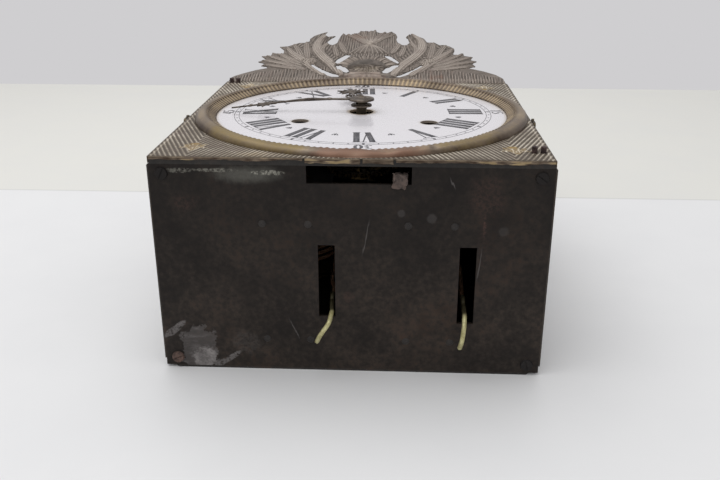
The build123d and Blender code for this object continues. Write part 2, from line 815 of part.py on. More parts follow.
def coil_spot(centre, quarters):
    """Gives the point of the wound cord's line after a number of quarter turns."""
    angle = radians(90 * quarters)
    return Vector(centre[0] + cord_pitch_radius * cos(angle), centre[1] + cord_pitch_radius * sin(angle),
                  cord_last_z + quarters * cord_pitch / 4)


def coil_direction(quarters):
    """Gives the direction of the wound cord's line after a number of quarter turns."""
    angle = radians(90 * quarters)
    sideways = cord_pitch_radius * radians(90)
    return Vector(-sideways * sin(angle), sideways * cos(angle), cord_pitch / 4).normalized()


for train, centre in barrel.items():
    with BuildPart() as barrel_arbor:
        turned(centre, [(rear_bar_z, winding_square_rear_z, barrel_arbor_radius)])
        with BuildSketch(Plane((*centre, winding_square_rear_z))):
            Rectangle(winding_square, winding_square)
        extrude(amount=winding_square_front_z - winding_square_rear_z)
    save(barrel_arbor, f"{train}_barrel_arbor")

    with BuildPart() as drum:
        with BuildSketch(Plane(origin=(*centre, 0), x_dir=(1, 0, 0), z_dir=(0, -1, 0))):
            with BuildLine():
                Polyline(
                    (drum_bore, drum_rear_z - flange_thickness),
                    (flange_radius, drum_rear_z - flange_thickness),
                    (flange_radius, drum_rear_z),
                    (drum_radius, drum_rear_z),
                    (drum_radius, drum_front_z),
                    (flange_radius, drum_front_z),
                    (flange_radius, flange_front_z),
                    (drum_bore, flange_front_z),
                    (drum_bore, drum_front_z - drum_wall),
                    (drum_radius - drum_wall, drum_front_z - drum_wall),
                    (drum_radius - drum_wall, drum_rear_z + drum_wall),
                    (drum_bore, drum_rear_z + drum_wall),
                    close=True,
                )
            make_face()
        revolve(axis=Axis((*centre, 0), (0, 0, 1)))
        with BuildSketch(Plane((*centre, flange_front_z))):
            make_face(saw_outline(ratchet_teeth, ratchet_radius, ratchet_depth, 0.1))
            Circle(drum_bore, mode=Mode.SUBTRACT)
        extrude(amount=ratchet_thickness)
    save(drum, f"{train}_drum")

    quarters = range(4 * cord_turns + 1)
    with BuildPart() as wound_cord:
        with BuildLine() as coil:
            first, final = coil_spot(centre, 0), coil_spot(centre, quarters[-1])
            Line(first - coil_direction(0) * (2 * cord_radius), first)
            biarc_path([coil_spot(centre, number) for number in quarters],
                       [coil_direction(number) for number in quarters])
            Line(final, final + coil_direction(quarters[-1]) * (2 * cord_radius))
        coil_line = coil.wire()
        with BuildSketch(Plane(origin=coil_line @ 0, z_dir=coil_line % 0)):
            Circle(cord_radius)
        sweep(path=coil_line)
    save(wound_cord, f"{train}_wound_cord")
    spots = [coil_line @ (number / coil_samples) for number in range(coil_samples + 1)]
    half_turn_samples = coil_samples // (2 * cord_turns)
    gap = min((near - far).length for number, near in enumerate(spots)
              for far in spots[number + half_turn_samples:]) - 2 * cord_radius
    print(f"{train} wound cord: {coil_line.length:.0f} mm long, least gap to itself {gap:.2f} mm")

    with BuildPart() as great_wheel:
        add_wheel(centre, great_wheel_z,
                  tooth_outline(great_teeth, great_module, bearing(centre, second[train])),
                  barrel_arbor_radius + pivot_gap, great_teeth * great_module / 2, 5, 6)
    save(great_wheel, f"{train}_great_wheel")

    with BuildPart() as click:
        with BuildSketch(Plane((*centre, click_z))):
            with BuildLine():
                Polyline(
                    (click_x - 3, -3),
                    (click_x + 3, -3),
                    (click_x + 2, 6),
                    (ratchet_radius + click_gap + 0.5, 13),
                    (ratchet_radius + click_gap, 3),
                    close=True,
                )
            make_face()
        extrude(amount=click_thickness)
        with BuildSketch(Plane((*centre, click_z + click_thickness))):
            with Locations((click_x, 0)):
                Circle(2.2)
        extrude(amount=great_wheel_z - click_z - click_thickness)
        with BuildSketch(Plane((*centre, click_z))):
            with BuildLine():
                ThreePointArc((click_x + 5.4, -12), (click_x + 6.2, 0), (click_x + 3, 9))
                ThreePointArc((click_x + 4.8, -12), (click_x + 5.6, 0), (click_x + 2.5, 9))
                Line((click_x + 5.4, -12), (click_x + 4.8, -12))
                Line((click_x + 3, 9), (click_x + 2.5, 9))
            make_face()
            with Locations((click_x + 5.1, -13)):
                Circle(1.8)
        extrude(amount=click_thickness)
        with BuildSketch(Plane((*centre, click_z + click_thickness))):
            with Locations((click_x + 5.1, -13)):
                Circle(1.8)
        extrude(amount=great_wheel_z - click_z - click_thickness)
    save(click, f"{train}_click")

# Second and third arbors of both trains, with their wheels
for train in train_x:
    to_great = bearing(second[train], barrel[train])
    to_third = bearing(second[train], third[train])
    to_last = bearing(third[train], last[train])
    front_end = motion_wheel_z + wheel_thickness if train == "going" else bar_front_face
    with BuildPart() as second_arbor:
        turned(second[train], train_steps(front_end))
        cut_leaves(second[train], leaf_z, leaf_length,
                   pinion_outline(pinion_leaves, great_module, to_great + 180 / pinion_leaves))
    save(second_arbor, f"{train}_second_arbor")

    with BuildPart() as second_wheel:
        add_wheel(second[train], second_wheel_z,
                  tooth_outline(second_teeth, second_module[train], to_third),
                  small_arbor_radius + fit_gap, second_teeth * second_module[train] / 2, 8)
        if train == "strike":
            with BuildSketch(Plane((*second[train], second_wheel_z + wheel_thickness))):
                with PolarLocations(lifting_pin_circle, lifting_pins, start_angle=10):
                    Circle(lifting_pin_radius)
            extrude(amount=lifting_pin_length)
    save(second_wheel, "strike_pin_wheel" if train == "strike" else "going_second_wheel")

    with BuildPart() as third_arbor:
        turned(third[train], train_steps())
        cut_leaves(third[train], second_wheel_z - leaf_overhang, leaf_length,
                   pinion_outline(pinion_leaves, second_module[train], to_third + 180 + 180 / pinion_leaves))
    save(third_arbor, f"{train}_third_arbor")

    with BuildPart() as third_wheel:
        add_wheel(third[train], third_wheel_z,
                  tooth_outline(third_teeth, third_module[train], to_last),
                  small_arbor_radius + fit_gap, third_teeth * third_module[train] / 2, 4)
    save(third_wheel, f"{train}_third_wheel")

# Escapement: the escape wheel, the anchor that spans it, and the crutch that reaches the pendulum's place
with BuildPart() as escape_arbor:
    turned(escape, train_steps())
    cut_leaves(escape, third_wheel_z - leaf_overhang, leaf_length,
               pinion_outline(pinion_leaves, third_module["going"],
                              bearing(third["going"], escape) + 180 + 180 / pinion_leaves))
save(escape_arbor, "escape_arbor")

with BuildPart() as escape_wheel:
    add_wheel(escape, escape_wheel_z,
              saw_outline(escape_teeth, escape_radius, escape_tooth_depth, 0.15),
              small_arbor_radius + fit_gap, escape_radius, escape_tooth_depth + 3, 4, escape_wheel_thickness)
save(escape_wheel, "escape_wheel")

with BuildPart() as anchor:
    turned(anchor_axis, train_steps(crutch_z + crutch_thickness))
    with BuildSketch(Plane((*escape, escape_wheel_z - 0.5))):
        with BuildLine():
            inner_arc = CenterArc((0, 0), escape_radius + pallet_clearance, 90 - anchor_half_angle,
                                  2 * anchor_half_angle)
            outer_arc = CenterArc((0, 0), escape_radius + pallet_clearance + anchor_depth,
                                  90 - anchor_half_angle, 2 * anchor_half_angle)
            Line(inner_arc @ 0, outer_arc @ 0)
            Line(inner_arc @ 1, outer_arc @ 1)
        make_face()
        with Locations((0, anchor_rise)):
            Circle(2.6 * small_arbor_radius)
    extrude(amount=anchor_thickness)
save(anchor, "anchor")

crutch_foot_y = anchor_y - crutch_length
with BuildPart() as crutch:
    with BuildSketch(Plane((*anchor_axis, crutch_z))):
        with Locations((0, -crutch_length / 2)):
            Rectangle(crutch_width, crutch_length)
        Circle(crutch_width)
        Circle(pivot_radius + fit_gap, mode=Mode.SUBTRACT)
    extrude(amount=crutch_thickness)
    with BuildSketch(Plane((escape_x, crutch_foot_y, crutch_z))):
        Rectangle(fork_gap + 2 * crutch_thickness, crutch_thickness)
    extrude(amount=fork_front_z - crutch_z)
    with BuildSketch(Plane((escape_x, crutch_foot_y, suspension_z - cock_width / 2))):
        Rectangle(fork_gap, 2 * crutch_thickness)
    extrude(amount=cock_width, mode=Mode.SUBTRACT)
save(crutch, "crutch")

# Fly of the strike train
with BuildPart() as fly_arbor:
    turned(fly_axis, train_steps())
    cut_leaves(fly_axis, third_wheel_z - leaf_overhang, leaf_length,
               pinion_outline(pinion_leaves, third_module["strike"],
                              bearing(third["strike"], fly_axis) + 180 + 180 / pinion_leaves))
save(fly_arbor, "fly_arbor")

with BuildPart() as fly:
    with BuildSketch(Plane((*fly_axis, fly_rear_z))):
        Circle(small_arbor_radius + 1.5)
        Rectangle(2 * fly_radius, fly_thickness, rotation=35)
        Circle(small_arbor_radius + fit_gap, mode=Mode.SUBTRACT)
    extrude(amount=fly_front_z - fly_rear_z)
save(fly, "fly")

# Hammer on its own arbor, with a tail beside the lifting pins
pin_reach = hypot(second["strike"][0] - hammer_x, second["strike"][1] - hammer_y)
tail_length = pin_reach - lifting_pin_circle - lifting_pin_radius - hammer_tail_gap
with BuildPart() as hammer_arbor:
    turned(hammer_axis, train_steps())
    with BuildSketch(Plane((*hammer_axis, second_wheel_z + wheel_thickness + 1))):
        Rectangle(tail_length, 4, rotation=bearing(hammer_axis, second["strike"]),
                  align=(Align.MIN, Align.CENTER))
        Circle(4.5)
    extrude(amount=lifting_pin_length - 1)
save(hammer_arbor, "hammer_arbor")

rod_direction = Vector(hammer_head_x - hammer_x, hammer_head_y - hammer_y)
with BuildPart() as hammer:
    turned(hammer_axis, [(bell_z - 2 * hammer_rod_radius, bell_z + 2 * hammer_rod_radius,
                          2.4 * small_arbor_radius)])
    with BuildSketch(Plane(origin=(*hammer_axis, bell_z), x_dir=(0, 0, 1), z_dir=rod_direction)):
        Circle(hammer_rod_radius)
    extrude(amount=rod_direction.length)
    with BuildSketch(Plane(origin=(hammer_head_x, hammer_head_y, bell_z), x_dir=(0, 0, 1),
                           z_dir=(rod_direction.Y, -rod_direction.X, 0))):
        Circle(hammer_head_radius)
    extrude(amount=hammer_head_length / 2, both=True)
    chamfer(hammer.edges().filter_by(GeomType.CIRCLE).sort_by(SortBy.RADIUS)[-2:], 1)
    bored(hammer_axis, bell_z - 3 * hammer_rod_radius, bell_z + 3 * hammer_rod_radius,
          small_arbor_radius + fit_gap)
save(hammer, "hammer")

# Motion work: the bridge with its posts, the driving wheel, the cannon, the reverser and the hour wheel
bridge_left = strike_x + bar_width / 2 - bridge_reach
bridge_right = going_x - bar_width / 2 + bridge_reach
with BuildPart() as motion_bridge:
    with BuildSketch(Plane.XY.offset(bar_front_face)):
        with Locations(((bridge_left + bridge_right) / 2, 0)):
            RectangleRounded(bridge_right - bridge_left, bridge_width, 3)
        with Locations((dial_x, 0)):
            Rectangle(0.75 * bridge_width, -reverser_y + 6, align=(Align.CENTER, Align.MAX))
    extrude(amount=bridge_thickness)
    turned(dial_centre, [(bar_front_face, minute_hand_z + hand_thickness + hub_thickness, centre_post_radius)])
    turned(reverser, [(bar_front_face, hour_wheel_z + wheel_thickness + 1, centre_post_radius)])
save(motion_bridge, "motion_bridge")

to_dial = bearing(second["going"], dial_centre)
with BuildPart() as drive_wheel:
    add_wheel(second["going"], motion_wheel_z,
              tooth_outline(motion_teeth, motion_module, to_dial, 0.85, 1.2, 0.44),
              pivot_radius + fit_gap, motion_teeth * motion_module / 2, 5)
save(drive_wheel, "motion_drive_wheel")

with BuildPart() as cannon:
    add_wheel(dial_centre, motion_wheel_z,
              tooth_outline(motion_teeth, motion_module, to_dial + 180 + 180 / motion_teeth, 0.85, 1.2, 0.44),
              minute_pipe_bore, motion_teeth * motion_module / 2, 5)
    add_tube(dial_centre, motion_wheel_z, reverser_wheel_z, minute_pipe_bore, minute_pipe_radius + 2)
    cut_leaves(dial_centre, reverser_wheel_z, wheel_thickness,
               pinion_outline(minute_leaves, reverser_module, 270, 0.7, 1.4, 0.38))
    bored(dial_centre, reverser_wheel_z, reverser_wheel_z + wheel_thickness, minute_pipe_bore)
    add_tube(dial_centre, reverser_wheel_z, minute_hand_z + hand_thickness, minute_pipe_bore, minute_pipe_radius)
save(cannon, "cannon_pinion")

with BuildPart() as reverser_wheel:
    add_wheel(reverser, reverser_wheel_z,
              tooth_outline(reverser_teeth, reverser_module, 90 + 180 / reverser_teeth, 1.1, 1.3, 0.46),
              minute_pipe_bore, reverser_teeth * reverser_module / 2, 5)
    cut_leaves(reverser, reverser_wheel_z + wheel_thickness, hour_wheel_z - reverser_wheel_z,
               pinion_outline(reverser_leaves, hour_module, 90, 0.65, 1.5, 0.36))
    bored(reverser, reverser_wheel_z, hour_wheel_z + wheel_thickness, minute_pipe_bore)
save(reverser_wheel, "reverser_wheel")

with BuildPart() as hour_wheel:
    add_wheel(dial_centre, hour_wheel_z,
              tooth_outline(hour_teeth, hour_module, 270 + 180 / hour_teeth, 1.1, 1.3, 0.46),
              hour_pipe_bore, hour_teeth * hour_module / 2, 5)
    add_tube(dial_centre, hour_wheel_z, hour_hand_z + hand_thickness, hour_pipe_bore, hour_pipe_radius)
save(hour_wheel, "hour_wheel")

# Minute hand, pointing at nine o'clock and bent towards the dial at its tip
with BuildPart() as minute_hand:
    with BuildSketch(Plane((*dial_centre, minute_hand_z - minute_droop))):
        with BuildLine():
            Polyline((0, 2.4), (-56, 1.3), (-minute_ornament_reach, 1.3), (-minute_hand_length, 0.3),
                     (-minute_hand_length, -0.3), (-minute_ornament_reach, -1.3), (-56, -1.3), (0, -2.4),
                     close=True)
        make_face()
        with Locations((-minute_ornament_reach, 0)):
            RegularPolygon(7.5, 6)
            RegularPolygon(7.5, 6, rotation=30)
            with PolarLocations(4.3, 6):
                Circle(1.3, mode=Mode.SUBTRACT)
        Circle(minute_hub_radius)
        Circle(minute_pipe_radius + fit_gap, mode=Mode.SUBTRACT)
    extrude(amount=minute_droop + hand_thickness)
    with BuildSketch(side_view):
        with BuildLine():
            Polyline(
                (minute_hub_radius, minute_hand_z),
                (minute_hub_radius, minute_hand_z + hand_thickness),
                (-minute_droop_start, minute_hand_z + hand_thickness),
                (-minute_hand_length, minute_hand_z - minute_droop + hand_thickness),
                (-minute_hand_length, minute_hand_z - minute_droop),
                (-minute_droop_start, minute_hand_z),
                close=True,
            )
        make_face()
    extrude(amount=minute_hub_radius, both=True, mode=Mode.INTERSECT)
    with BuildSketch(Plane((*dial_centre, minute_hand_z + hand_thickness))):
        Circle(minute_hub_radius)
        Circle(centre_post_radius + pivot_gap, mode=Mode.SUBTRACT)
    extrude(amount=hub_thickness)
    chamfer(minute_hand.faces().sort_by(Axis.Z)[-1].outer_wire().edges(), 0.9 * hub_thickness)
save(minute_hand, "minute_hand")

# Hour hand, a little before twelve
with BuildPart() as hour_hand:
    with BuildSketch(Plane((*dial_centre, hour_hand_z)).rotated((0, 0, hour_hand_turn))):
        with BuildLine():
            Polyline((3, 0), (1.6, 26), (6, 31), (6.5, 37), (2.4, 43), (0.4, hour_hand_length),
                     (-0.4, hour_hand_length), (-2.4, 43), (-6.5, 37), (-6, 31), (-1.6, 26), (-3, 0),
                     close=True)
        make_face()
        with Locations((-2.8, 35), (2.8, 35)):
            Circle(1.7, mode=Mode.SUBTRACT)
        Circle(hour_hub_radius)
        Circle(hour_pipe_radius + fit_gap, mode=Mode.SUBTRACT)
    extrude(amount=hand_thickness)
save(hour_hand, "hour_hand")

# Side doors hung on pintles, and the turn buttons that hold them shut
door_x = half_width + door_gap
door_middle_x = door_x + door_thickness / 2
hinge_x = door_middle_x + hinge_offset
with BuildPart() as door_pintles:
    for side, arm_y in pintle_arm_places:
        arm_root = pillar_face_x - pintle_root_depth
        with BuildSketch(Plane(origin=(side * arm_root, arm_y, hinge_z), z_dir=(side, 0, 0))):
            Circle(pintle_arm_radius)
        extrude(amount=hinge_x - arm_root + pintle_arm_radius)
        with BuildSketch(Plane(origin=(side * hinge_x, arm_y, hinge_z), z_dir=(0, 1, 0))):
            Circle(pintle_radius)
        extrude(amount=knuckle_length + pintle_arm_radius + 2 * door_gap)
save(door_pintles, "door_pintles")

for side, name in ((-1, "left"), (1, "right")):
    with BuildPart() as door:
        with BuildSketch(Plane(origin=(side * door_x, 0, door_rear_z), x_dir=(0, side, 0), z_dir=(side, 0, 0))):
            with Locations((0, (door_front_z - door_rear_z) / 2)):
                Rectangle(case_height - 2 * door_end_gap, door_front_z - door_rear_z)
        extrude(amount=door_thickness)
        for y in (-hinge_y, hinge_y):
            knuckle_plane = Plane(origin=(side * hinge_x, y - knuckle_length / 2, hinge_z),
                                  x_dir=(side, 0, 0), z_dir=(0, 1, 0))
            with BuildSketch(knuckle_plane.offset(-2 * pintle_arm_radius - door_gap)):
                Rectangle(4 * knuckle_radius, 4 * knuckle_radius)
            extrude(amount=knuckle_length + 3 * pintle_arm_radius, mode=Mode.SUBTRACT)
            with BuildSketch(knuckle_plane):
                Circle(knuckle_radius)
                with Locations((-hinge_offset, -side * 1.5 * knuckle_radius)):
                    Rectangle(door_thickness, 3 * knuckle_radius)
                Circle(pintle_radius + pivot_gap, mode=Mode.SUBTRACT)
            extrude(amount=knuckle_length)
    save(door, f"{name}_door")

    with BuildPart() as turn_button:
        stem_root = board_edge_x - 3 * button_stem_radius
        button_x = door_x + door_thickness + door_gap
        with BuildSketch(Plane(origin=(side * stem_root, button_y, button_z), z_dir=(side, 0, 0))):
            Circle(button_stem_radius)
        extrude(amount=button_x - stem_root)
        with BuildSketch(Plane(origin=(side * button_x, button_y, button_z), x_dir=(0, 1, 0),
                               z_dir=(side, 0, 0))):
            Circle(button_radius)
            with Locations((-button_reach / 2, 0)):
                SlotOverall(button_reach + button_width, button_width)
        extrude(amount=button_thickness)
    save(turn_button, f"{name}_turn_button")

# Weight hooks of bent wire, with an eye for the cord, and the cords between drum and hook
floor_y = -half_height
hook_route = {
    "going": [(74.2, floor_y + 12.8, 45.2), (74.4, floor_y, 43.2), (73.8, floor_y - 8, 38.5),
              (72.5, floor_y - 12, 30.5), (71.6, floor_y - 8, 23.5)],
    "strike": [(-13.0, floor_y + 12.8, 46.4), (-12.2, floor_y, 44.0), (-13.5, floor_y - 9, 40.0),
               (-19.0, floor_y - 13, 33.0), (-21.5, floor_y - 9, 26.5)],
}
hook_bends = [3.5, 5.0, 4.0]
for train, centre in barrel.items():
    route = hook_route[train]
    eye_x, shank_y, eye_z = route[0]
    eye_y = shank_y + hook_eye_radius
    with BuildPart() as hook:
        wire_sweep(route, hook_bends, hook_wire_radius)
        with Locations(Plane(origin=(eye_x, eye_y, eye_z), z_dir=(1, 0, 0))):
            Torus(hook_eye_radius, hook_wire_radius)
    save(hook, f"{train}_hook")

    cord_x = centre[0] + cord_pitch_radius
    drop_start = coil_spot(centre, 0) - coil_direction(0) * (2 * cord_radius)
    drop_end = (eye_x, eye_y + hook_eye_radius + hook_wire_radius + cord_radius / 4, eye_z)
    drop_route = [
        (drop_start.X, drop_start.Y, drop_start.Z),
        (cord_x, barrel_y - 22, drop_start.Z - 0.6),
        (cord_x - 0.5, barrel_y - 44, drop_start.Z - 2.6),
        (eye_x + 0.6, drop_end[1] + 12, eye_z - 0.6),
        drop_end,
    ]
    radii = corner_radii(drop_route)
    with BuildPart() as cord_drop:
        drop_line = wire_sweep(drop_route, radii, cord_radius)
    save(cord_drop, f"{train}_cord_drop")
    print(f"{train} cord drop: {drop_line.length:.0f} mm, arc radii", [round(radius) for radius in radii])
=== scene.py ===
"""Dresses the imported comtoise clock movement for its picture.

The clock lies on its back on a pale table, with its bottom plate towards the camera, its enamel dial
facing up and its embossed crest at the far end. Every size below is in millimetres in the frame of
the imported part: X to the right, Y towards the crest and Z out of the dial. Finished meshes are
scaled to metres once, in PieceBuilder.place.
"""

import logging
import math
import random
from collections.abc import Callable
from dataclasses import dataclass, field
from enum import Enum

import bmesh
import bpy
import numpy as np
from mathutils import Matrix, Vector, noise


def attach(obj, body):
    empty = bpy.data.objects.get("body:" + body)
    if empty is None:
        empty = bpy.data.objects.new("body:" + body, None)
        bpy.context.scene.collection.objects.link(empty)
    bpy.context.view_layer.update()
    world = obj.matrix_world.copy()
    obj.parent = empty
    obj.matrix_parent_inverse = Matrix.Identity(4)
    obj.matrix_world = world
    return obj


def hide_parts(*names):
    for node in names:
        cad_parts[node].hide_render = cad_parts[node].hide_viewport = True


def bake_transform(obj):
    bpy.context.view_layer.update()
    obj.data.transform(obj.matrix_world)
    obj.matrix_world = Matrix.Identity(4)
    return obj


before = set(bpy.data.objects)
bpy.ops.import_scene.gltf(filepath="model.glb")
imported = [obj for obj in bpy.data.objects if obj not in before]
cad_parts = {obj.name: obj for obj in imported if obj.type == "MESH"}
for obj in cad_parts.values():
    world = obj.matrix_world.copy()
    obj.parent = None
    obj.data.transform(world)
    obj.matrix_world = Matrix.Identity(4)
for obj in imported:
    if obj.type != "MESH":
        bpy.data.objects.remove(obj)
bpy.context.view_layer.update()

log = logging.getLogger("clock")
logging.basicConfig(level=logging.INFO, format="%(message)s")

Colour = tuple[float, float, float, float]
Point = tuple[float, float]
Room = Callable[[np.ndarray, np.ndarray], np.ndarray]
MM = 0.001


def paint(red: float, green: float, blue: float) -> Colour:
    """Turns a colour as seen on a screen into the linear colour a shader takes.

    Args:
        red: Red from 0 to 255.
        green: Green from 0 to 255.
        blue: Blue from 0 to 255.

    Returns:
        The linear colour with an alpha of 1.
    """
    parts = [channel / 255 for channel in (red, green, blue)]
    linear = [part / 12.92 if part <= 0.04045 else ((part + 0.055) / 1.055) ** 2.4 for part in parts]
    return (*linear, 1.0)


class Slot(Enum):
    """Names of the record's material slots, which the builder is given but does not use."""

    IRON = "iron_plate"
    DARK_IRON = "dark_iron"
    EMBOSSED = "embossed_brass"
    ENAMEL = "enamel"
    HAND = "bronze_hand"
    CORD = "cord"


# Shader tools


class Signal:
    """Wraps one output socket, so that maths on it is written as a Python expression."""

    def __init__(self, sheet: "MaterialSheet", socket: bpy.types.NodeSocket) -> None:
        """Keeps the sheet that draws new nodes and the socket to build on."""
        self.sheet = sheet
        self.socket = socket

    def _join(self, operation: str, first: object, second: object) -> "Signal":
        """Adds one Math node for the two values."""
        return self.sheet.node("ShaderNodeMath", {"operation": operation}, {0: first, 1: second})

    def __add__(self, other: object) -> "Signal":
        """Adds a value."""
        return self._join("ADD", self, other)

    def __radd__(self, other: object) -> "Signal":
        """Adds this to a value."""
        return self._join("ADD", other, self)

    def __sub__(self, other: object) -> "Signal":
        """Subtracts a value."""
        return self._join("SUBTRACT", self, other)

    def __rsub__(self, other: object) -> "Signal":
        """Subtracts this from a value."""
        return self._join("SUBTRACT", other, self)

    def __mul__(self, other: object) -> "Signal":
        """Multiplies by a value."""
        return self._join("MULTIPLY", self, other)

    def __rmul__(self, other: object) -> "Signal":
        """Multiplies a value by this."""
        return self._join("MULTIPLY", other, self)

    def __truediv__(self, other: object) -> "Signal":
        """Divides by a value."""
        return self._join("DIVIDE", self, other)

    def __pow__(self, other: object) -> "Signal":
        """Raises to a power."""
        return self._join("POWER", self, other)

    def __abs__(self) -> "Signal":
        """Gives the distance from zero."""
        return self.sheet.node("ShaderNodeMath", {"operation": "ABSOLUTE"}, {0: self})

    def at_most(self, other: object) -> "Signal":
        """Gives the smaller of this and a value."""
        return self._join("MINIMUM", self, other)

    def wave(self, pitch: float) -> "Signal":
        """Gives a wave from -1 to 1 that repeats each pitch of this signal."""
        return self.sheet.node("ShaderNodeMath", {"operation": "COSINE"}, {0: self * (2 * math.pi / pitch)})

    def step(self, low: float, high: float) -> "Signal":
        """Rises smoothly from 0 at low to 1 at high.

        Args:
            low: Value where the result starts to rise. It may be above high, and then the result falls.
            high: Value where the result has reached 1.

        Returns:
            The smooth step of this signal.
        """
        limits = {"From Min": min(low, high), "From Max": max(low, high)}
        ends = {"To Min": 0.0, "To Max": 1.0} if low < high else {"To Min": 1.0, "To Max": 0.0}
        return self.sheet.node("ShaderNodeMapRange", {"interpolation_type": "SMOOTHSTEP"},
                               {"Value": self, **limits, **ends})


class MaterialSheet:
    """One material under construction, with its node tree and its usual inputs."""

    def __init__(self, name: str) -> None:
        """Starts a material with its Principled shader.

        Args:
            name: Name of the material.
        """
        self.material = bpy.data.materials.new(name)
        self.material.use_nodes = True
        self.tree = self.material.node_tree
        self.shader = self.tree.nodes["Principled BSDF"]
        spot = self.node("ShaderNodeTexCoord", output="Object")
        self.place = self.node("ShaderNodeVectorMath", {"operation": "SCALE"}, {0: spot, "Scale": 1000.0})
        self.x, self.y, self.z = (self.node("ShaderNodeSeparateXYZ", None, {0: self.place}, axis)
                                  for axis in range(3))

    def node(self, kind: str, settings: dict | None = None, inputs: dict | None = None,
             output: int | str = 0) -> Signal:
        """Adds any node.

        Args:
            kind: The node's type name.
            settings: Its own settings, set first. "stops" gives a colour ramp its positions and colours.
            inputs: Values or signals for its sockets, by name or number.
            output: Name or number of the output that is returned.

        Returns:
            The chosen output as a signal.
        """
        made = self.tree.nodes.new(kind)
        for key, value in (settings or {}).items():
            if key == "stops":
                elements = made.color_ramp.elements
                elements[0].position, elements[0].color = value[0]
                elements[1].position, elements[1].color = value[-1]
                for position, colour in value[1:-1]:
                    elements.new(position).color = colour
            else:
                setattr(made, key, value)
        for key, value in (inputs or {}).items():
            self.feed(made.inputs[key], value)
        return Signal(self, made.outputs[output])

    def feed(self, socket: bpy.types.NodeSocket, value: object) -> None:
        """Links a signal to a socket, or sets its constant.

        Args:
            socket: Socket to feed.
            value: A signal, or a plain value.
        """
        if isinstance(value, Signal):
            self.tree.links.new(value.socket, socket)
        else:
            socket.default_value = value

    def cloud(self, size: float, detail: float = 3.0, seed: float = 0.0,
              stretch: tuple[float, float, float] = (1.0, 1.0, 1.0), rough: float = 0.55) -> Signal:
        """Adds a cloudy noise.

        Args:
            size: Size of its largest blotches in millimetres.
            detail: Number of finer layers.
            seed: Shift that makes one cloud differ from the next.
            stretch: Blotch size along each axis, as a multiple of size.
            rough: Share of each finer layer.

        Returns:
            The noise, from 0 to 1 about 0.5.
        """
        scale = tuple(1 / (size * part) for part in stretch)
        moved = self.node("ShaderNodeMapping", None,
                          {"Vector": self.place, "Location": (seed, seed * 1.7, -seed), "Scale": scale})
        return self.node("ShaderNodeTexNoise", None,
                         {"Vector": moved, "Scale": 1.0, "Detail": detail, "Roughness": rough})

    def mix(self, share: object, first: object, second: object) -> Signal:
        """Mixes two colours.

        Args:
            share: Share of the second colour.
            first: The colour where share is 0.
            second: The colour where share is 1.

        Returns:
            The mixed colour.
        """
        return self.node("ShaderNodeMix", {"data_type": "RGBA"}, {0: share, 6: first, 7: second}, 2)

    def ramp(self, value: Signal, *stops: tuple[float, Colour]) -> Signal:
        """Colours a value by a ramp of stops."""
        return self.node("ShaderNodeValToRGB", {"stops": list(stops)}, {"Fac": value})

    def attribute(self, name: str) -> Signal:
        """Reads a value that the mesh carries at its points."""
        return self.node("ShaderNodeAttribute", {"attribute_name": name}, None, "Fac")

    def bump(self, height: Signal, depth: float, strength: float = 1.0) -> Signal:
        """Turns a height into a normal.

        Args:
            height: Height as a share of depth.
            depth: Depth in millimetres for a height of 1.
            strength: Strength of the bump.

        Returns:
            The bumped normal.
        """
        return self.node("ShaderNodeBump", None,
                         {"Height": height, "Distance": depth * MM, "Strength": strength})

    def blot(self, x: float, z: float, wide: float, high: float, edge: float, ragged: Signal,
             tear: float = 1.2, turn: float = 0.0) -> Signal:
        """Masks one ragged spot on a face.

        Args:
            x: Its middle across.
            z: Its middle up the plate.
            wide: Half its width.
            high: Half its height.
            edge: Softness of its rim, as a share of its size.
            ragged: Noise that breaks its rim.
            tear: How far the noise moves its rim, as a share of its size.
            turn: Angle of its width against the horizontal, in degrees.

        Returns:
            A mask from 0 to 1.
        """
        east, north = math.cos(math.radians(turn)), math.sin(math.radians(turn))
        across = (self.x - x) * east + (self.z - z) * north
        upward = (self.z - z) * east - (self.x - x) * north
        span = ((across / wide) ** 2.0 + (upward / high) ** 2.0) ** 0.5
        return (span + (ragged - 0.5) * tear).step(1 + edge, 1 - edge)

    def finish(self, colour: object, rough: object, metal: object = 0.0, normal: Signal | None = None,
               coat: float = 0.0, gleam: float = 0.5) -> bpy.types.Material:
        """Feeds the shader and gives the finished material.

        Args:
            colour: Base colour.
            rough: Roughness.
            metal: Metallic share.
            normal: Bumped normal.
            coat: Weight of a clear coat.
            gleam: Strength of the plain reflection.

        Returns:
            The material.
        """
        self.shader.inputs["Specular IOR Level"].default_value = gleam
        self.feed(self.shader.inputs["Base Color"], colour)
        self.feed(self.shader.inputs["Roughness"], rough)
        self.feed(self.shader.inputs["Metallic"], metal)
        if normal is not None:
            self.feed(self.shader.inputs["Normal"], normal)
        if coat:
            self.shader.inputs["Coat Weight"].default_value = coat
            self.shader.inputs["Coat Roughness"].default_value = 0.12
        return self.material


# Finishes


@dataclass(frozen=True)
class Finish:
    """A finish that makes one material."""

    name: str

    def dress(self) -> bpy.types.Material:
        """Makes the material."""
        raise NotImplementedError


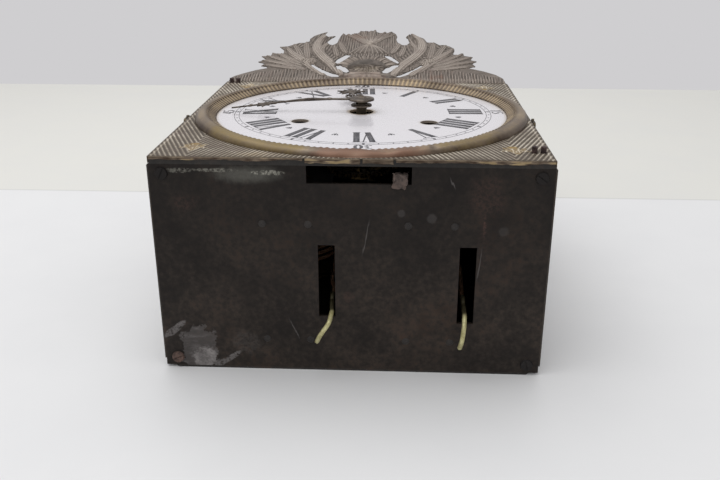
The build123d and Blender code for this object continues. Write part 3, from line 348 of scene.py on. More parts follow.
@dataclass(frozen=True)
class OldIron(Finish):
    """Blackened wrought iron with brown rust, scale and a few rubbed places."""

    dark: Colour = paint(31, 28, 26)
    light: Colour = paint(54, 50, 46)
    rust: Colour = paint(70, 54, 45)
    rusted: float = 0.5
    rough: float = 0.62
    metal: float = 0.25
    grain: tuple[float, float, float] = (1.0, 1.0, 1.0)

    def surface(self, sheet: MaterialSheet) -> tuple[Signal, Signal, Signal]:
        """Works out the plain iron.

        Args:
            sheet: Sheet to draw on.

        Returns:
            Its colour, its roughness and its height.
        """
        broad = sheet.cloud(46, 4, 3.0, self.grain)
        fine = sheet.cloud(3.5, 5, 11.0, self.grain, 0.65)
        speck = sheet.cloud(0.9, 3, 7.0)
        rusty = (broad * 0.55 + fine * 0.45).step(1.02 - self.rusted, 1.12 - self.rusted + 0.12)
        colour = sheet.mix((fine * 0.7 + broad * 0.5).step(0.42, 0.85), self.dark, self.light)
        colour = sheet.mix(rusty * 0.75, colour, self.rust)
        colour = sheet.mix(speck.step(0.62, 0.74) * 0.35, colour, paint(26, 23, 22))
        rough = self.rough + (fine - 0.5) * 0.25 + rusty * 0.14
        height = fine * 0.7 + speck * 0.3 + rusty * 0.25
        return colour, rough, height

    def dress(self) -> bpy.types.Material:
        """Makes the material.

        Returns:
            The material.
        """
        sheet = MaterialSheet(self.name)
        colour, rough, height = self.surface(sheet)
        return sheet.finish(colour, rough, self.metal, sheet.bump(height, 0.25, 0.7))


@dataclass(frozen=True)
class PlateIron(OldIron):
    """The bottom plate's iron, with the bare patch, smears and scratches that it shows."""

    bare: Colour = paint(104, 100, 99)
    lichen: Colour = paint(112, 111, 104)
    streak: Colour = paint(80, 58, 52)

    def dress(self) -> bpy.types.Material:
        """Makes the material with its placed marks.

        Returns:
            The material.
        """
        sheet = MaterialSheet(self.name)
        colour, rough, height = self.surface(sheet)
        ragged = sheet.cloud(8, 6, 21.0, rough=0.72)
        sharp = sheet.cloud(2.2, 5, 5.0, rough=0.75)
        flat = sheet.cloud(5, 5, 33.0, (1.9, 1.0, 0.6), 0.7)
        soot = sheet.cloud(26, 4, 44.0, rough=0.6)
        colour = sheet.mix(soot.step(0.42, 0.66) * 0.45, colour, paint(22, 18, 16))
        colour = sheet.mix(sheet.z.step(40, 125) * 0.5, colour, paint(22, 18, 16))
        patch = sheet.blot(-102, 14, 12.5, 17, 0.05, ragged, 1.7)
        inner = sheet.blot(-98, 7, 8, 8, 0.3, sharp, 1.6)
        worn = (flat * 0.9 + inner * 0.18).step(0.4, 0.7)
        colour = sheet.mix(patch * (0.34 + worn * 0.5), colour, self.bare)
        colour = sheet.mix(patch * inner * ragged.step(0.34, 0.62) * 0.6, colour, paint(160, 155, 153))
        for x, z, wide, high, turn, share in ((-118, 28, 11, 2.2, 38, 0.85), (-114, 32, 5, 1.6, 38, 0.7),
                                              (-84, 6, 12, 1.9, 34, 0.9), (-79, 10, 6, 1.2, 34, 0.6),
                                              (-70, 20, 9, 8, 0, 0.14)):
            smear = sheet.blot(x, z, wide, high, 0.2, ragged, 1.6, turn) * sharp.step(0.36, 0.56)
            colour = sheet.mix(smear * share, colour, self.bare)
        haze = sheet.blot(-64, 137.0, 17, 4.4, 0.7, ragged, 1.4) * (0.2 + sharp * 0.5)
        colour = sheet.mix(haze, colour, self.lichen)
        for x, z, wide, high, share in ((-51, 138.2, 11, 1.3, 0.85), (-84, 139.5, 13, 1.2, 0.5),
                                        (-106, 139, 9, 1.4, 0.4)):
            smear = sheet.blot(x, z, wide, high, 0.3, ragged, 2.2) * sharp.step(0.42, 0.58)
            colour = sheet.mix(smear * share, colour, paint(150, 148, 138))
        for x, z, wide, high, share in ((85, 124, 10, 12, 0.3), (84, 105, 0.9, 6, 0.75),
                                        (84, 92, 4, 14, 0.14), (-1, 54.5, 3.2, 3.2, 0.35),
                                        (-104, 118, 8, 5, 0.26)):
            spotted = sheet.blot(x, z, wide, high, 0.5, ragged, 2.2) * sharp.step(0.4, 0.6)
            colour = sheet.mix(spotted * share, colour, self.streak)
        for x, z, size, share in ((51, 110, 3.0, 0.2), (32, 113, 2.4, 0.2), (96, 102, 3.0, 0.14)):
            colour = sheet.mix(sheet.blot(x, z, size, size, 0.3, sharp) * share, colour, self.bare)
        slim = sheet.cloud(16, 2, 2.0, (0.08, 1.0, 1.4))
        for x, z, wide, high, lean in ((82, 79, 1.6, 11, 0.12), (-19, 65.5, 10, 1.2, 0.0),
                                       (-37, 30, 4, 8, -0.45), (63, 133, 6, 3, -0.4), (10, 96, 5, 10, 0.2)):
            leaned = sheet.x - x - (sheet.z - z) * lean
            line = abs(leaned + (slim - 0.5) * 2.0).step(0.55, 0.1)
            colour = sheet.mix(line * sheet.blot(x, z, wide, high, 0.5, sharp) * 0.5, colour, self.bare)
        return sheet.finish(colour, rough - patch * 0.08, self.metal,
                            sheet.bump(height - patch * 0.4, 0.25, 0.7), gleam=0.24)


@dataclass(frozen=True)
class ScrewIron(OldIron):
    """Iron of the plate screws: black, but pink with rust in the lower left corner."""

    pink: Colour = paint(104, 84, 76)

    def dress(self) -> bpy.types.Material:
        """Makes the material with its rusty corner.

        Returns:
            The material.
        """
        sheet = MaterialSheet(self.name)
        colour, rough, height = self.surface(sheet)
        corner = sheet.x.step(-90, -100) * sheet.z.step(40, 30) * sheet.y.step(-60, -80)
        patchy = sheet.cloud(2.4, 4, 9.0).step(0.35, 0.6)
        colour = sheet.mix(sheet.z.step(90, 110) * 0.7, colour, paint(24, 20, 18))
        colour = sheet.mix(corner * (0.4 + patchy * 0.5), colour, self.pink)
        return sheet.finish(colour, rough, self.metal, sheet.bump(height, 0.3, 0.8), gleam=0.3)


@dataclass(frozen=True)
class EmbossedBrass(Finish):
    """Thin pressed brass gone grey-brown: dark in the hollows, rubbed bright on the ridges.

    The meshes carry "relief", the height of the embossing from 0 to 1, which on the ring also holds painted
    shade on the roll's flanks and on the crest's dome a painted highlight, and "tone", which turns the
    brass towards its golden (above 0.5) or copper-red (below 0.5) places. The field's mesh also carries
    "plain", which is 1 where it has no dots, and the crest's mesh "grain", the distance across its stripes.
    """

    hollow: Colour = paint(66, 58, 50)
    middle: Colour = paint(114, 105, 95)
    ridge: Colour = paint(160, 151, 138)
    gold: Colour = paint(136, 118, 62)
    copper: Colour = paint(118, 86, 68)
    dotted: bool = False
    striped: bool = False
    middle_x: float = 101.0
    dot_pitch: float = 1.55
    rib_pitch: float = 2.9
    stripe_pitch: float = 1.25
    rough: float = 0.46
    metal: float = 0.35

    def dress(self) -> bpy.types.Material:
        """Makes the material from the relief that the mesh carries.

        Returns:
            The material.
        """
        sheet = MaterialSheet(self.name)
        relief = sheet.attribute("relief")
        tone = sheet.attribute("tone")
        broad = sheet.cloud(30, 4, 5.0)
        fine = sheet.cloud(2.6, 4, 15.0, rough=0.65)
        speck = sheet.cloud(0.7, 2, 4.0)
        height = speck * 0.4
        shade = relief + (fine - 0.5) * 0.34 + (broad - 0.5) * 0.3
        if self.dotted:
            aside = abs(abs(sheet.x) - self.middle_x)
            dots = (aside * 0.38 + sheet.y * 0.92).wave(self.dot_pitch) * 0.5 + 0.5
            ribs = (aside * 0.92 - sheet.y * 0.38).wave(self.rib_pitch) * 0.5 + 0.5
            free = 1 - sheet.attribute("plain")
            worn = 0.42 + sheet.cloud(14, 4, 27.0).step(0.36, 0.64) * 0.3
            shade = shade + dots * ribs * free * worn - free * 0.16
            height = height + dots * ribs * free
        if self.striped:
            stripes = sheet.attribute("grain").wave(self.stripe_pitch) * 0.5 + 0.5
            shade = shade + (stripes - 0.5) * (0.12 + sheet.cloud(11, 4, 19.0).step(0.38, 0.62) * 0.36)
            height = height + stripes * 1.2
        colour = sheet.ramp(shade, (0.12, self.hollow), (0.5, self.middle), (0.95, self.ridge))
        torn = tone + (sheet.cloud(9, 5, 24.0, rough=0.7) - 0.5) * 0.5 * abs(tone - 0.5).step(0.02, 0.16)
        colour = sheet.mix(torn.step(0.52, 0.95) * (0.5 + fine * 0.6), colour, self.gold)
        colour = sheet.mix(torn.step(0.48, 0.08) * (0.45 + fine * 0.7), colour, self.copper)
        violet = sheet.cloud(16, 3, 31.0).step(0.56, 0.7)
        colour = sheet.mix(violet * 0.22, colour, paint(104, 84, 80))
        rough = self.rough + (1 - relief) * 0.16 + (fine - 0.5) * 0.2
        return sheet.finish(colour, rough, self.metal, sheet.bump(height, 0.22, 0.75))


@dataclass(frozen=True)
class Enamel(Finish):
    """White fired enamel, faintly violet, with a rusty rim at its centre hole."""

    white: Colour = paint(212, 209, 213)
    centre: Point = (1.5, 0.0)

    def dress(self) -> bpy.types.Material:
        """Makes the material with its stains.

        Returns:
            The material.
        """
        sheet = MaterialSheet(self.name)
        broad = sheet.cloud(60, 3, 8.0)
        fine = sheet.cloud(5, 4, 17.0)
        reach = ((sheet.x - self.centre[0]) ** 2.0 + (sheet.y - self.centre[1]) ** 2.0) ** 0.5
        colour = sheet.mix(broad.step(0.4, 0.7) * 0.35, self.white, paint(212, 210, 215))
        rim = (reach + (fine - 0.5) * 3.2).step(12.6, 9.2)
        colour = sheet.mix(rim * 0.8, colour, paint(150, 122, 82))
        halo = (reach + (fine - 0.5) * 8).step(22, 9)
        colour = sheet.mix(halo * 0.12, colour, paint(170, 160, 140))
        ghost = (abs(sheet.x - 2.5).step(9.2, 8.4)) * (abs(sheet.y + 34).step(11.5, 10.5))
        colour = sheet.mix(ghost * 0.3, colour, paint(186, 184, 190))
        edge = (reach + (fine - 0.5) * 1.6).step(104.6, 107.4)
        colour = sheet.mix(edge * 0.5, colour, paint(160, 140, 110))
        for arbor_x, arbor_y in ((51, -32), (-41, -32)):
            bore = ((sheet.x - arbor_x) ** 2.0 + (sheet.y - arbor_y) ** 2.0) ** 0.5
            colour = sheet.mix(bore.step(6.5, 6.1) * 0.85, colour, paint(84, 68, 48))
            colour = sheet.mix((bore + (fine - 0.5) * 3).step(9.0, 6.4) * 0.3, colour, paint(150, 130, 100))
        stain = sheet.cloud(9, 5, 40.0, rough=0.7).step(0.63, 0.74)
        colour = sheet.mix(stain * 0.12, colour, paint(170, 158, 150))
        normal = sheet.bump(broad * 0.7 + fine * 0.1, 0.5, 0.35)
        return sheet.finish(colour, 0.2 + fine * 0.12, 0.0, normal, 0.35)


@dataclass(frozen=True)
class Ink(Finish):
    """Fired black print, worn to a dark grey."""

    black: Colour = paint(74, 73, 78)

    def dress(self) -> bpy.types.Material:
        """Makes the material.

        Returns:
            The material.
        """
        sheet = MaterialSheet(self.name)
        worn = sheet.cloud(2.2, 4, 3.0, rough=0.7).step(0.52, 0.78)
        colour = sheet.mix(worn * 0.4, self.black, paint(128, 127, 133))
        return sheet.finish(colour, 0.34, 0.0)


@dataclass(frozen=True)
class Metal(Finish):
    """A plain worked metal with fine scratches and a patchy patina."""

    bright: Colour = paint(170, 140, 80)
    dull: Colour = paint(110, 86, 50)
    rough: float = 0.4
    metal: float = 0.85
    size: float = 12.0
    lines: tuple[float, float, float] = (1.0, 1.0, 1.0)
    # True to paint shade on the part that lies inside the case.
    sooty: bool = False

    def dress(self) -> bpy.types.Material:
        """Makes the material, with painted shade where it lies inside the case when that is asked for.

        Returns:
            The material.
        """
        sheet = MaterialSheet(self.name)
        broad = sheet.cloud(self.size, 4, 6.0)
        fine = sheet.cloud(0.8, 4, 16.0, self.lines, 0.65)
        share = (broad * 0.7 + fine * 0.35).step(0.38, 0.68)
        colour = sheet.mix(share, self.dull, self.bright)
        if self.sooty:
            # Painted shade: the wire behind the front plate's face is darkened.
            colour = sheet.mix(sheet.y.step(-127, -122.5) * 0.85, colour, paint(40, 33, 26))
        rough = self.rough + (1 - share) * 0.2 + (fine - 0.5) * 0.14
        return sheet.finish(colour, rough, self.metal, sheet.bump(fine + broad * 0.4, 0.08, 0.6))


@dataclass(frozen=True)
class HempCord(Finish):
    """Old brown cord, whose fibres run along the strands, with painted shade where it lies inside the case.
    """

    pale: Colour = paint(196, 150, 120)
    dark: Colour = paint(128, 92, 70)

    def dress(self) -> bpy.types.Material:
        """Makes the material.

        Returns:
            The material.
        """
        sheet = MaterialSheet(self.name)
        fibre = sheet.cloud(0.5, 3, 2.0)
        broad = sheet.cloud(9, 3, 12.0)
        colour = sheet.mix((fibre * 0.6 + broad * 0.5).step(0.4, 0.7), self.dark, self.pale)
        # Painted shade: the cord behind the front plate is darkened, except in a band round x 28.
        cord_case_shade = sheet.y.step(-124, -118) * (abs(sheet.x - 27).step(60, 64) + abs(sheet.x - 28).step(12, 16))
        colour = sheet.mix(cord_case_shade.at_most(1) * 0.25, colour, self.dark)
        return sheet.finish(colour, 0.86, 0.0, sheet.bump(fibre, 0.16, 0.8))


@dataclass(frozen=True)
class TableTop(Finish):
    """Pale table boards with a faint seam across the far part."""

    front: Colour = paint(223, 223, 224)
    rear: Colour = paint(218, 217, 212)
    seam_y: float = 251.0

    def dress(self) -> bpy.types.Material:
        """Makes the material.

        Returns:
            The material.
        """
        sheet = MaterialSheet(self.name)
        fine = sheet.cloud(70, 3, 2.0)
        colour = sheet.mix(sheet.y.step(self.seam_y - 1, self.seam_y + 1), self.front, self.rear)
        colour = sheet.mix(fine.step(0.3, 0.8) * 0.14, colour, paint(206, 207, 210))
        seam = abs(sheet.y - self.seam_y).step(2.4, 0.8)
        colour = sheet.mix(seam * 0.35, colour, paint(170, 168, 166))
        return sheet.finish(colour, 0.55, 0.0)


# Mesh tools


class PieceBuilder:
    """Places finished bmesh shapes in the scene as pieces of the clock."""

    def place(self, shape: bmesh.types.BMesh, name: str, body: str, finish: bpy.types.Material, slot: Slot,
              hides: tuple[str, ...] = (), turn_out: bool = True, merge: float = 0.001,
              values: dict[str, np.ndarray] | None = None) -> bpy.types.Object:
        """Turns a shape in millimetres into a piece in metres that rides on a body.

        Args:
            shape: The shape, which is freed.
            name: Name of the piece.
            body: Body that it rides on.
            finish: Its material.
            slot: Slot of the record that it belongs to; not used.
            hides: CAD nodes that it stands for.
            turn_out: True to recalculate its normals outwards.
            merge: Distance under which points are merged, 0 for none.
            values: Values that the mesh carries at its points.

        Returns:
            The new object.
        """
        if merge:
            bmesh.ops.remove_doubles(shape, verts=shape.verts[:], dist=merge)
        if turn_out:
            bmesh.ops.recalc_face_normals(shape, faces=shape.faces[:])
        bmesh.ops.scale(shape, vec=(MM, MM, MM), verts=shape.verts[:])
        for face in shape.faces:
            face.smooth = True
        mesh = bpy.data.meshes.new(name)
        shape.to_mesh(mesh)
        shape.free()
        for key, numbers in (values or {}).items():
            layer = mesh.attributes.new(key, "FLOAT", "POINT")
            layer.data.foreach_set("value", numbers.astype(np.float32))
        return self.settle(mesh, name, body, finish, slot, hides)

    def settle(self, mesh: bpy.types.Mesh, name: str, body: str, finish: bpy.types.Material, slot: Slot,
               hides: tuple[str, ...] = ()) -> bpy.types.Object:
        """Makes the object of a finished mesh and reports it.

        Args:
            mesh: Finished mesh in metres.
            name: Name of the piece.
            body: Body that it rides on, empty for a piece that runs between two bodies and is attached to
                neither.
            finish: Its material.
            slot: Slot of the record that it belongs to; not used.
            hides: CAD nodes that it stands for.

        Returns:
            The new object.
        """
        piece = bpy.data.objects.new(name, mesh)
        bpy.context.scene.collection.objects.link(piece)
        mesh.materials.clear()
        mesh.materials.append(finish)
        if body:
            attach(piece, body)
        if hides:
            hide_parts(*hides)
        log.info("%s: %d faces on %s", name, len(mesh.polygons), body or "two bodies")
        return piece

    def thicken(self, piece: bpy.types.Object, thickness: float, offset: float = -1.0) -> None:
        """Gives a thin piece its wall.

        Args:
            piece: The piece.
            thickness: Thickness of the wall in millimetres.
            offset: Side of the wall, -1 for below the mesh and 0 for half on each side.
        """
        wall = piece.modifiers.new("thickness", "SOLIDIFY")
        wall.thickness = thickness * MM
        wall.offset = offset


def points_of(shape: bmesh.types.BMesh) -> np.ndarray:
    """Reads the places of all points of a shape as an array of three columns."""
    return np.array([vert.co for vert in shape.verts], float).reshape(-1, 3)


def put_points(shape: bmesh.types.BMesh, places: np.ndarray) -> None:
    """Moves all points of a shape to the given places."""
    for vert, place in zip(shape.verts, places):
        vert.co = place


def turned(shape: bmesh.types.BMesh, profile: list[Point], centre: Point,
           steps: int) -> list[bmesh.types.BMVert]:
    """Spins a closed profile of radius and height round an upright line.

    Args:
        shape: Shape that gets the new faces.
        profile: Corners of the profile, as radius and Z.
        centre: X and Y of the line.
        steps: Number of steps in the full turn.

    Returns:
        The new points.
    """
    before = set(shape.verts)
    corners = [shape.verts.new((centre[0] + radius, centre[1], z)) for radius, z in profile]
    edges = [shape.edges.new(pair) for pair in zip(corners, corners[1:] + corners[:1])]
    bmesh.ops.spin(shape, geom=corners + edges, cent=(*centre, 0), axis=(0, 0, 1), angle=2 * math.pi,
                   steps=steps, use_merge=True, use_duplicate=False)
    return [vert for vert in shape.verts if vert not in before]


def plate(shape: bmesh.types.BMesh, outline: list[Point], low: float, high: float,
          bevel: float = 0.0) -> list[bmesh.types.BMVert]:
    """Extrudes an outline in X and Y between two heights.

    Args:
        shape: Shape that gets the new faces.
        outline: Corners of the outline in order.
        low: Z of its underside.
        high: Z of its top.
        bevel: Width of the bevel round its top, 0 for none.

    Returns:
        The new points.
    """
    before = set(shape.verts)
    floor = shape.faces.new([shape.verts.new((x, y, low)) for x, y in outline])
    grown = bmesh.ops.extrude_face_region(shape, geom=[floor], use_keep_orig=True)["geom"]
    tops = [item for item in grown if isinstance(item, bmesh.types.BMVert)]
    bmesh.ops.translate(shape, vec=(0, 0, high - low), verts=tops)
    if bevel:
        rim = [item for item in grown if isinstance(item, bmesh.types.BMEdge)]
        bmesh.ops.bevel(shape, geom=rim, offset=bevel, offset_type="OFFSET", segments=2, profile=0.5,
                        affect="EDGES", material=-1, clamp_overlap=True)
    return [vert for vert in shape.verts if vert not in before]


def smooth_line(corners: list[Point], pieces: int = 6) -> np.ndarray:
    """Draws a smooth line through corners.

    Args:
        corners: Points that the line passes.
        pieces: Pieces between two corners.

    Returns:
        The points of the line.
    """
    spots = np.array([corners[0], *corners, corners[-1]], float)
    line = []
    for first, start, end, last in zip(spots, spots[1:], spots[2:], spots[3:]):
        for share in np.arange(pieces) / pieces:
            line.append(0.5 * (2 * start + (end - first) * share
                               + (2 * first - 5 * start + 4 * end - last) * share ** 2
                               + (3 * start - first - 3 * end + last) * share ** 3))
    line.append(spots[-1])
    return np.array(line)


def ease(values: np.ndarray, low: float, high: float) -> np.ndarray:
    """Rises smoothly from 0 at low to 1 at high."""
    share = np.clip((values - low) / (high - low), 0, 1)
    return share * share * (3 - 2 * share)


def noise_at(*columns: np.ndarray | float) -> np.ndarray:
    """Reads smooth noise at many places.

    Args:
        columns: The three coordinates, each one number or one number per place.

    Returns:
        The noise at each place, from -1 to 1.
    """
    return np.array([noise.noise(Vector(spot)) for spot in np.stack(np.broadcast_arrays(*columns), 1)])


def mound(x: np.ndarray, y: np.ndarray, middle: Point, wide: float, tall: float) -> np.ndarray:
    """Gives a soft mound of height 1 that fades with the distance from its middle.

    Args:
        x: First coordinates of the points.
        y: Second coordinates of the points.
        middle: Its middle.
        wide: Its reach along the first coordinate.
        tall: Its reach along the second coordinate.

    Returns:
        Its height at each point.
    """
    return np.exp(-(((x - middle[0]) / wide) ** 2 + ((y - middle[1]) / tall) ** 2))


def inside_by(corners: list[Point], x: np.ndarray, y: np.ndarray) -> np.ndarray:
    """Gives how far points lie inside an outline, below zero outside it.

    Args:
        corners: The outline's corners in order.
        x: First coordinates of the points.
        y: Second coordinates of the points.

    Returns:
        The distance to the outline, positive inside.
    """
    nearest = np.full(x.shape, 1e9)
    inside = np.zeros(x.shape, bool)
    for (ax, ay), (bx, by) in zip(corners, corners[1:] + corners[:1]):
        ex, ey = bx - ax, by - ay
        share = np.clip(((x - ax) * ex + (y - ay) * ey) / max(ex * ex + ey * ey, 1e-9), 0, 1)
        nearest = np.minimum(nearest, np.hypot(x - ax - ex * share, y - ay - ey * share))
        if ay != by:
            crosses = ((ay > y) != (by > y)) & (x < ex * (y - ay) / ey + ax)
            inside ^= crosses
    return np.where(inside, nearest, -nearest)


# Embossing


@dataclass
class Leaf:
    """One embossed leaf with a smooth spine, a vein and fine lines beside it."""

    spine: list[Point]
    width: float
    rise: float = 1.8
    vein: float = 0.45
    pitch: float = 2.4
    blunt: float = 0.6
    lobe: float = 0.05

    def height(self, x: np.ndarray, y: np.ndarray) -> tuple[np.ndarray, np.ndarray]:
        """Works out its height at many points.

        Args:
            x: First coordinates of the points.
            y: Second coordinates of the points.

        Returns:
            The height, -9 outside the leaf, and the distance across its fine stripes.
        """
        line = smooth_line(self.spine, 4)
        best = np.full(x.shape, 1e9)
        side = np.zeros(x.shape)
        along = np.zeros(x.shape)
        walked = 0.0
        for (ax, ay), (bx, by) in zip(line, line[1:]):
            ex, ey = bx - ax, by - ay
            long = math.hypot(ex, ey)
            share = np.clip(((x - ax) * ex + (y - ay) * ey) / max(long * long, 1e-9), 0, 1)
            reach = np.hypot(x - ax - ex * share, y - ay - ey * share)
            closer = reach < best
            turn = np.sign(ex * (y - ay) - ey * (x - ax))
            side = np.where(closer, reach * turn, side)
            along = np.where(closer, walked + share * long, along)
            best = np.minimum(best, reach)
            walked += long
        share = along / walked
        swell = np.clip(np.sin(math.pi * (0.06 + 0.94 * share) ** 0.8), 0, 1) ** self.blunt
        lobes = 1 + self.lobe * np.cos(2 * math.pi * (along + 0.9 * np.abs(side)) / (2 * self.pitch))
        half = 0.5 * self.width * swell * lobes + 0.2
        room = 1 - (side / half) ** 2
        body = self.rise * np.sqrt(np.clip(room, 0, 1))
        body -= self.vein * np.exp(-((side / 0.55) ** 2))
        body += 0.2 * np.cos(2 * math.pi * side / (0.72 * self.pitch)) * np.clip(room, 0, 1)
        return np.where(room > 0, body, -9.0), side * (0.52 + 0.2 * share)


@dataclass
class EmbossedSheet:
    """A pressed brass sheet, cut from a fine grid and raised point by point."""

    builder: PieceBuilder
    finish: bpy.types.Material
    thickness: float = 0.8

    def cut(self, low: Point, high: Point, pitch: float, room: Room) -> bmesh.types.BMesh:
        """Cuts a grid to a field and snaps its rim onto the field's edge.

        Args:
            low: Lowest corner of the grid.
            high: Highest corner of the grid.
            pitch: Size of its cells.
            room: Gives how far points lie inside the sheet.

        Returns:
            The flat sheet at Z 0.
        """
        wide, tall = high[0] - low[0], high[1] - low[1]
        middle = Vector(((low[0] + high[0]) / 2, (low[1] + high[1]) / 2, 0))
        shape = bmesh.new()
        bmesh.ops.create_grid(shape, x_segments=round(wide / pitch), y_segments=round(tall / pitch), size=0.5,
                              matrix=Matrix.Translation(middle) @ Matrix.Diagonal((wide, tall, 1, 1)))
        places = points_of(shape)
        depth = room(places[:, 0], places[:, 1])
        shape.verts.index_update()
        outside = [face for face in shape.faces
                   if min(depth[vert.index] for vert in face.verts) < -0.42 * pitch]
        bmesh.ops.delete(shape, geom=outside, context="FACES")
        rim = [vert for vert in shape.verts if vert.is_boundary]
        spots = np.array([vert.co for vert in rim], float).reshape(-1, 3)
        for _ in range(2):
            x, y, small = spots[:, 0], spots[:, 1], 0.05
            here = room(x, y)
            slope_x = (room(x + small, y) - room(x - small, y)) / (2 * small)
            slope_y = (room(x, y + small) - room(x, y - small)) / (2 * small)
            steep = np.maximum(slope_x ** 2 + slope_y ** 2, 0.25)
            move = np.clip(here, -0.8 * pitch, 0.8 * pitch) / steep
            spots[:, 0] -= move * slope_x
            spots[:, 1] -= move * slope_y
        for vert, spot in zip(rim, spots):
            vert.co = spot
        return shape


# Brass front


